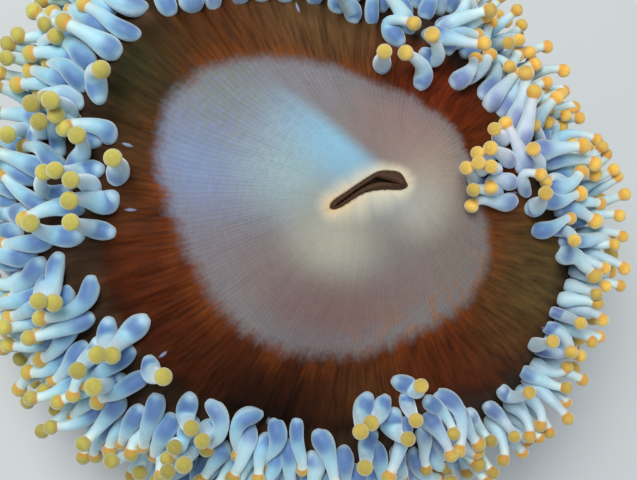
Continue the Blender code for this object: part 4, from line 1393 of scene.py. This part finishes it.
# A darker mauve arc below the mouth: partly the disc's own mauve, partly painted shade.
arc = flesh.rise(15.0, 24.0, along) * (1 - flesh.rise(28.0, 36.0, along))
middle = flesh.mix(arc * flesh.near(place, (0, -30, 78), 44) * 0.75, middle, MAUVE_AND_SHADE)
middle = flesh.mix(flesh.rise(-9.0, -2.0, rim + patchy * 4.0 - 2.0) * 0.35, middle, EDGE_GREY)
blotch = flesh.rise(0.46, 0.62, flesh.noise(place, 260.0, 3.0, 0.6)) * flesh.rise(-13.0, -1.0, rim)
middle = flesh.mix(blotch * flesh.near(place, (30, -26, 76), 50) * 0.6, middle, SAND_BROWN)
calm = flesh.rise(6.0, 24.0, along) * 0.6 + 0.4
ripples = flesh.noise(flesh.vector(way_x * 9.0, way_y * 9.0, along * 1.3), 1.0, 3.0)
brushed = lines * 0.035 + fine * 0.2 + broad * 0.16 + ripples * 0.26 - 0.31
middle = flesh.brighter(middle, brushed * calm + 0.97)
print("the pale middle has", len(MIDDLE_TINGES), "tinges")

# %% The glow round the mouth
CREAM, APRICOT = rgb(240, 230, 196), rgb(240, 184, 116)
glow = 1 - flesh.rise(3.2, 10.5, along + patchy * 2.4 + fine * 1.2)
middle = flesh.mix(glow * 0.85, middle, CREAM)
warm = (1 - flesh.rise(2.6, 7.5, along + patchy * 3.0)) * flesh.near(place, (-4, 0, 80), 17)
middle = flesh.mix(warm * 0.95, middle, APRICOT)
below = (1 - flesh.rise(1.8, 5.0, along + patchy * 3.0)) * flesh.near(place, (11, 1, 80), 12)
middle = flesh.mix(below * 0.7, middle, APRICOT)
print("skin finish so far:", len(flesh.tree.nodes), "nodes")

# %% [markdown]
# The brown ring: rusty in places next to the grey, chocolate further out, and darkened towards the
# roots by painted shade, deepest at the bottom, with a green tinge on two sides. Streaks of two sizes
# make it look brushed from the mouth outwards, like velvet.

# %% The brown ring
# The nearly black tinge at the bottom, round (-18, -54), is painted shade.
BROWN_TINGES = [
    ((-56, 38, 68), 42, rgb(34, 40, 17), 0.92), ((-58, 12, 70), 26, rgb(72, 46, 20), 0.6),
    ((-2, 58, 68), 38, rgb(84, 66, 40), 0.85), ((62, -14, 64), 40, rgb(86, 70, 38), 0.9),
    ((27, 35, 75), 24, rgb(90, 30, 8), 0.8), ((-48, -24, 72), 28, rgb(60, 22, 5), 0.8),
    ((-18, -54, 71), 44, rgb(13, 6, 2), 0.95), ((8, -46, 74), 20, rgb(70, 44, 22), 0.6),
]
# The darkest brown here is the painted shade among the roots.
BROWN, RUST, DARK, BUD = rgb(80, 33, 5), rgb(110, 55, 16), rgb(14, 8, 4), rgb(150, 168, 204)
ridge = flesh.stored("ridge")
root = flesh.stored("root")
brown = tinted(BROWN, BROWN_TINGES)
rusty = (1 - flesh.rise(1.0, 8.0, rim + broad * 6.0 - 3.0)) * flesh.rise(0.4, 0.62, patchy)
brown = flesh.mix(rusty * 0.5, brown, RUST)
# Painted shade: the brown darkens towards the roots, more towards the bottom, less on the ridges.
gloom = flesh.near(place, (-20, -70, 66), 70) * 0.3 + 0.55
shade = flesh.rise(-6.5, 1.5, root + fine * 8.0 + broad * 9.0 - 8.5) * (1 - ridge * 0.8) * gloom
brown = flesh.mix(shade, brown, DARK)
brown = flesh.brighter(brown, fine * 2.3 + broad * 0.9 + lines * 0.05 + speckle * 0.5 - 0.68)
brown = flesh.mix(flesh.rise(0.3, 0.75, flesh.stored("bud")) * 0.7, brown, BUD)
edge = flesh.rise(-2.6, 2.8, rim + fine * 3.0 + broad * 3.4 + speckle * 3.4 - 4.9)
upper = flesh.mix(edge, middle, brown)
print("the brown ring has", len(BROWN_TINGES), "tinges")

# %% [markdown]
# Under the margin nobody looks for colour, but the model is seen from all sides. The column of this
# kind is plain and strong in colour, here a chestnut mauve with fine upright creases painted in as
# darker streaks of shade, and its warts are paler than the skin between them.

# %% The column
COLUMN, CREASE_SHADE, WART, SOLE = rgb(142, 84, 82), rgb(96, 52, 56), rgb(208, 172, 164), rgb(170, 130, 122)
wart = flesh.stored("wart")
# Painted shade: fine upright creases drawn as darker streaks.
column = flesh.mix(flesh.rise(0.35, 0.65, streaks(90, 18, 5.5, 3.0)), COLUMN, CREASE_SHADE)
column = flesh.mix(flesh.rise(146.0, 160.0, along) * 0.7, column, SOLE)
column = flesh.mix(flesh.rise(0.15, 0.8, wart) * 0.8, column, WART)
# Among the roots the skin is dark brown, painted darker still as the shade under the tentacles; ridges and
# fine streaks stay lighter.
AMONG, AMONG_SHADE = rgb(84, 62, 42), rgb(36, 22, 13)
among = flesh.mix(fine * 0.6 + ridge * 0.5, AMONG_SHADE, AMONG)
outer = flesh.mix(flesh.rise(104.0, 114.0, along + patchy * 4.0), among, column)
skin_colour = flesh.mix(flesh.rise(0.0, 6.0, root + fine * 3.0), upper, outer)
flesh.set(Base_Color=skin_colour, Roughness=fine * 0.2 + edge * 0.16 + 0.4)
flesh.set(Subsurface_Weight=0.06, Subsurface_Radius=(0.9 * MM, 0.4 * MM, 0.3 * MM), Subsurface_Scale=1.0)
flesh.set(Specular_IOR_Level=0.1)
uneven = lines * 0.08 + fine * (edge * 0.8 + 0.4) + broad * (edge * 0.5 + 0.3) + ripples * 0.5
flesh.bump(uneven, 0.25 * MM, 0.8)
skin.data.materials.append(flesh.material)
print("skin finish:", len(flesh.tree.nodes), "nodes")

# %% [markdown]
# ## The lips' finish
#
# The lips are warm brown on their upper sides and on the crests of their pleats, and painted shade makes them
# nearly black below and in the furrow between them.

# %% Dark lips
LIP_SHADE, LIP_BROWN, LIP_RUST = rgb(16, 5, 4), rgb(80, 56, 40), rgb(104, 52, 22)
lip = Finish("lip_skin")
lip_place = lip.node("ShaderNodeTexCoord", {}, {}, "Object")
crest, up, inward = lip.stored("crest"), lip.stored("up"), lip.stored("inward")
grain = lip.noise(lip_place, 1400.0, 3.0)
# Painted light and shade: the upper side and the crests lit, the underside and the furrow nearly black.
lit = lip.rise(-0.2, 0.95, up + crest * 0.12 + grain * 0.5 - 0.25)
lip_colour = lip.mix(lit, LIP_SHADE, LIP_BROWN)
rust = lip.rise(0.0, 0.8, inward) * lip.near(lip_place, (17, 16, 80), 9)
lip_colour = lip.mix(rust * 0.8, lip_colour, LIP_RUST)
lip.set(Base_Color=lip_colour, Roughness=grain * 0.3 + 0.4, Specular_IOR_Level=0.22)
lip.bump(grain, 0.2 * MM)
lips.data.materials.append(lip.material)
print("lip finish:", len(lip.tree.nodes), "nodes")

# %% [markdown]
# ## The tentacles' finish
#
# The flesh is thin and lets light through. It is bluish, paler towards the neck, and on the outer
# side of each bulb lies a darker violet spot. On the flanks and the side towards the skin, and all
# round the root end, lies a pale rim of painted sheen. A cyan cast on the tentacles on the left is
# painted light. The ball is golden and matt, finely porous like a lemon, and warmer next to the neck;
# balls on the -y side turn olive with painted shade, and those at the upper right are brighter with
# painted light. All this follows the stages, which the tubes carry along, and each tentacle has a
# tone of its own. A sheen makes the rims shine pale.

# %% Bluish flesh
tentacle = Finish("tentacle_skin")
spot = tentacle.node("ShaderNodeTexCoord", {}, {}, "Object")
stage, outside, tone = tentacle.stored("stage"), tentacle.stored("outside"), tentacle.stored("tone")
mottle = tentacle.noise(spot, 260.0, 2.0)
pores = tentacle.noise(spot, 1900.0, 2.0)
STOPS = [(0.0, rgb(108, 156, 194)), (0.2, rgb(130, 182, 212)), (0.4, rgb(158, 206, 226))]
STOPS += [(0.62, rgb(188, 220, 230)), (0.75, rgb(212, 228, 220))]
fleshy = tentacle.node("ShaderNodeValToRGB", {"stops": STOPS}, {"Fac": stage + mottle * 0.1 - 0.05})
CYAN_LIGHT, LILAC, MINT = rgb(158, 212, 230), rgb(176, 172, 200), rgb(196, 222, 220)
# The pale rim colour below is the painted sheen of the tentacles.
VIOLET, RIM, PEARL = rgb(74, 98, 166), rgb(200, 226, 236), rgb(212, 206, 220)
# Painted light: a cyan cast on the tentacles on the left, stronger on some than on others.
west_light = tentacle.near(spot, (-95, 40, 60), 110)
fleshy = tentacle.mix(west_light * tentacle.rise(-1.6, 1.6, tone) * 0.5, fleshy, CYAN_LIGHT)
south_east = tentacle.near(spot, (70, -60, 50), 90)
fleshy = tentacle.mix(south_east * tentacle.rise(1.2, -1.6, tone) * 0.6, fleshy, LILAC)
fleshy = tentacle.mix(tentacle.rise(0.3, 1.8, tone) * 0.5, fleshy, MINT)
bulb_spot = tentacle.rise(-0.11, 0.06, stage) * (1 - tentacle.rise(0.14, 0.34, stage + tone * 0.03))
bulb_spot = bulb_spot * tentacle.rise(0.25, 1.0, outside + mottle * 0.5 - 0.25)
fleshy = tentacle.mix(tentacle.near(spot, (42, 26, 84), 34) * 0.7, fleshy, PEARL)
# Painted sheen: a pale rim on each tentacle's flanks and the side towards the skin, and all round its root
# end.
painted_rim_sheen = 1 - tentacle.rise(0.0, 0.7, outside) * tentacle.rise(-0.11, 0.0, stage)
fleshy = tentacle.mix(painted_rim_sheen * 0.55, fleshy, RIM)
fleshy = tentacle.mix(bulb_spot * 0.72, fleshy, VIOLET)
fleshy = tentacle.brighter(fleshy, tone * 0.04 + mottle * 0.3 + 0.9)
print("tentacle finish so far:", len(tentacle.tree.nodes), "nodes")

# %% Golden balls
GOLD, AMBER, LEMON = rgb(238, 201, 94), rgb(224, 144, 56), rgb(206, 197, 96)
OLIVE_GOLD, SUNLIT = rgb(144, 132, 62), rgb(255, 203, 92)
spot_x, spot_y, _ = tentacle.parts(spot)
east = tentacle.rise(-0.06, 0.06, spot_x)
gold = tentacle.mix(east, LEMON, GOLD)
# Painted shade: the balls on the -y side turn olive.
gold = tentacle.mix(tentacle.rise(-0.02, -0.09, spot_y) * 0.62, gold, OLIVE_GOLD)
# Painted light: the balls at the upper right turn brighter and more orange.
gold = tentacle.mix(tentacle.near(spot, (60, 45, 75), 70) * 0.8, gold, SUNLIT)
gold = tentacle.mix(tentacle.rise(-1.2, 2.2, tone + pores * 2.0 - 1.0) * 0.5, gold, OLIVE_GOLD)
gold = tentacle.mix((1 - tentacle.rise(0.765, 0.88, stage + mottle * 0.06 - 0.03)) * 0.55, gold, AMBER)
gold = tentacle.mix(tentacle.rise(0.93, 1.0, stage) * 0.35, gold, OLIVE_GOLD)
gold = tentacle.brighter(gold, pores * 0.5 + 0.76)
ball = tentacle.rise(0.752, 0.772, stage)
tentacle.set(Base_Color=tentacle.mix(ball, fleshy, gold), Roughness=ball * 0.2 + 0.48)
tentacle.set(Subsurface_Weight=0.25, Subsurface_Radius=(1.2 * MM, 1.0 * MM, 1.3 * MM), Subsurface_Scale=1.0)
tentacle.set(Sheen_Weight=1.0, Sheen_Roughness=0.45, Sheen_Tint=(0.92, 0.97, 1.0))
tentacle.set(Specular_IOR_Level=0.25)
wrinkles = (stage * 190.0 + mottle * 16.0).sine() * (1 - tentacle.rise(0.2, 0.5, stage))
tentacle.bump(pores * ball + mottle * 0.4 + wrinkles * 0.12, 0.15 * MM, 0.5)
for piece in tentacles:
    piece.data.materials.append(tentacle.material)
print("tentacle finish:", len(tentacle.tree.nodes), "nodes")

# %% [markdown]
# ## Floor, light and camera
#
# The model stands on a plain pale floor under a big soft lamp and an even sky, as on a museum's
# photo table. The camera takes the numbers that the sight lines used.

# %% The floor
FLOOR_HALF = 1.5
floor_mesh = bpy.data.meshes.new("floor")
floor_corners = [(FLOOR_HALF * x, FLOOR_HALF * y, 0) for x, y in ((-1, -1), (1, -1), (1, 1), (-1, 1))]
floor_mesh.from_pydata(floor_corners, [], [(0, 1, 2, 3)])
floor = bpy.data.objects.new("floor", floor_mesh)
bpy.context.scene.collection.objects.link(floor)
pale = Finish("floor_paint")
pale.set(Base_Color=rgb(214, 220, 222), Roughness=0.8)
floor.data.materials.append(pale.material)
print("the floor is", 2 * FLOOR_HALF, "m wide")


# %% The light
def facing(place, aim, up):
    """The matrix of something at a place that looks at an aim: its columns are right, up, back and place.
    Blender reads a plain array column by column, so it is handed over transposed."""
    back = unit(place - aim)
    right = unit(np.cross(up, back))
    columns = np.stack([right, np.cross(back, right), back, place], axis=1)
    return np.vstack([columns, [0, 0, 0, 1]]).T


def soft_lamp(name, place, aim, size, watts, colour):
    """A square area lamp, turned so that its back axis points from the aim to the lamp."""
    lamp = bpy.data.lights.new(name, "AREA")
    lamp.size, lamp.energy, lamp.color = size, watts, colour
    holder = bpy.data.objects.new(name, lamp)
    holder.matrix_world = facing(np.array(place), np.array(aim), FRAME_UP)
    bpy.context.scene.collection.objects.link(holder)


soft_lamp("key", (-0.28, 0.3, 0.75), (0, 0, 0.05), 0.4, 5.6, (1.0, 0.98, 0.95))
soft_lamp("fill", (0.5, -0.45, 0.5), (0, 0, 0.04), 0.6, 1.2, (0.92, 0.96, 1.0))
SKY_COLOUR, SKY_STRENGTH = (0.9, 0.95, 1.0, 1), 0.3
world = bpy.data.worlds.new("sky")
world.use_nodes = True
background = world.node_tree.nodes["Background"]
background.inputs["Color"].default_value = SKY_COLOUR
background.inputs["Strength"].default_value = SKY_STRENGTH
bpy.context.scene.world = world
bpy.context.scene.view_settings.view_transform = "Standard"

# %% The camera
camera_data = bpy.data.cameras.new("camera")
camera_data.sensor_width, camera_data.lens = SENSOR, LENS
camera_data.clip_start, camera_data.clip_end = 0.01, 10
camera = bpy.data.objects.new("camera", camera_data)
camera.matrix_world = facing(CAMERA_PLACE, CAMERA_AIM, FRAME_UP)
bpy.context.scene.collection.objects.link(camera)
bpy.context.scene.camera = camera
print("the camera's lens is", LENS, "mm long, over a sensor", SENSOR, "mm wide")

# %% [markdown]
# ## The end
#
# At the end the view layer is brought up to date.

# %% The end
bpy.context.view_layer.update()
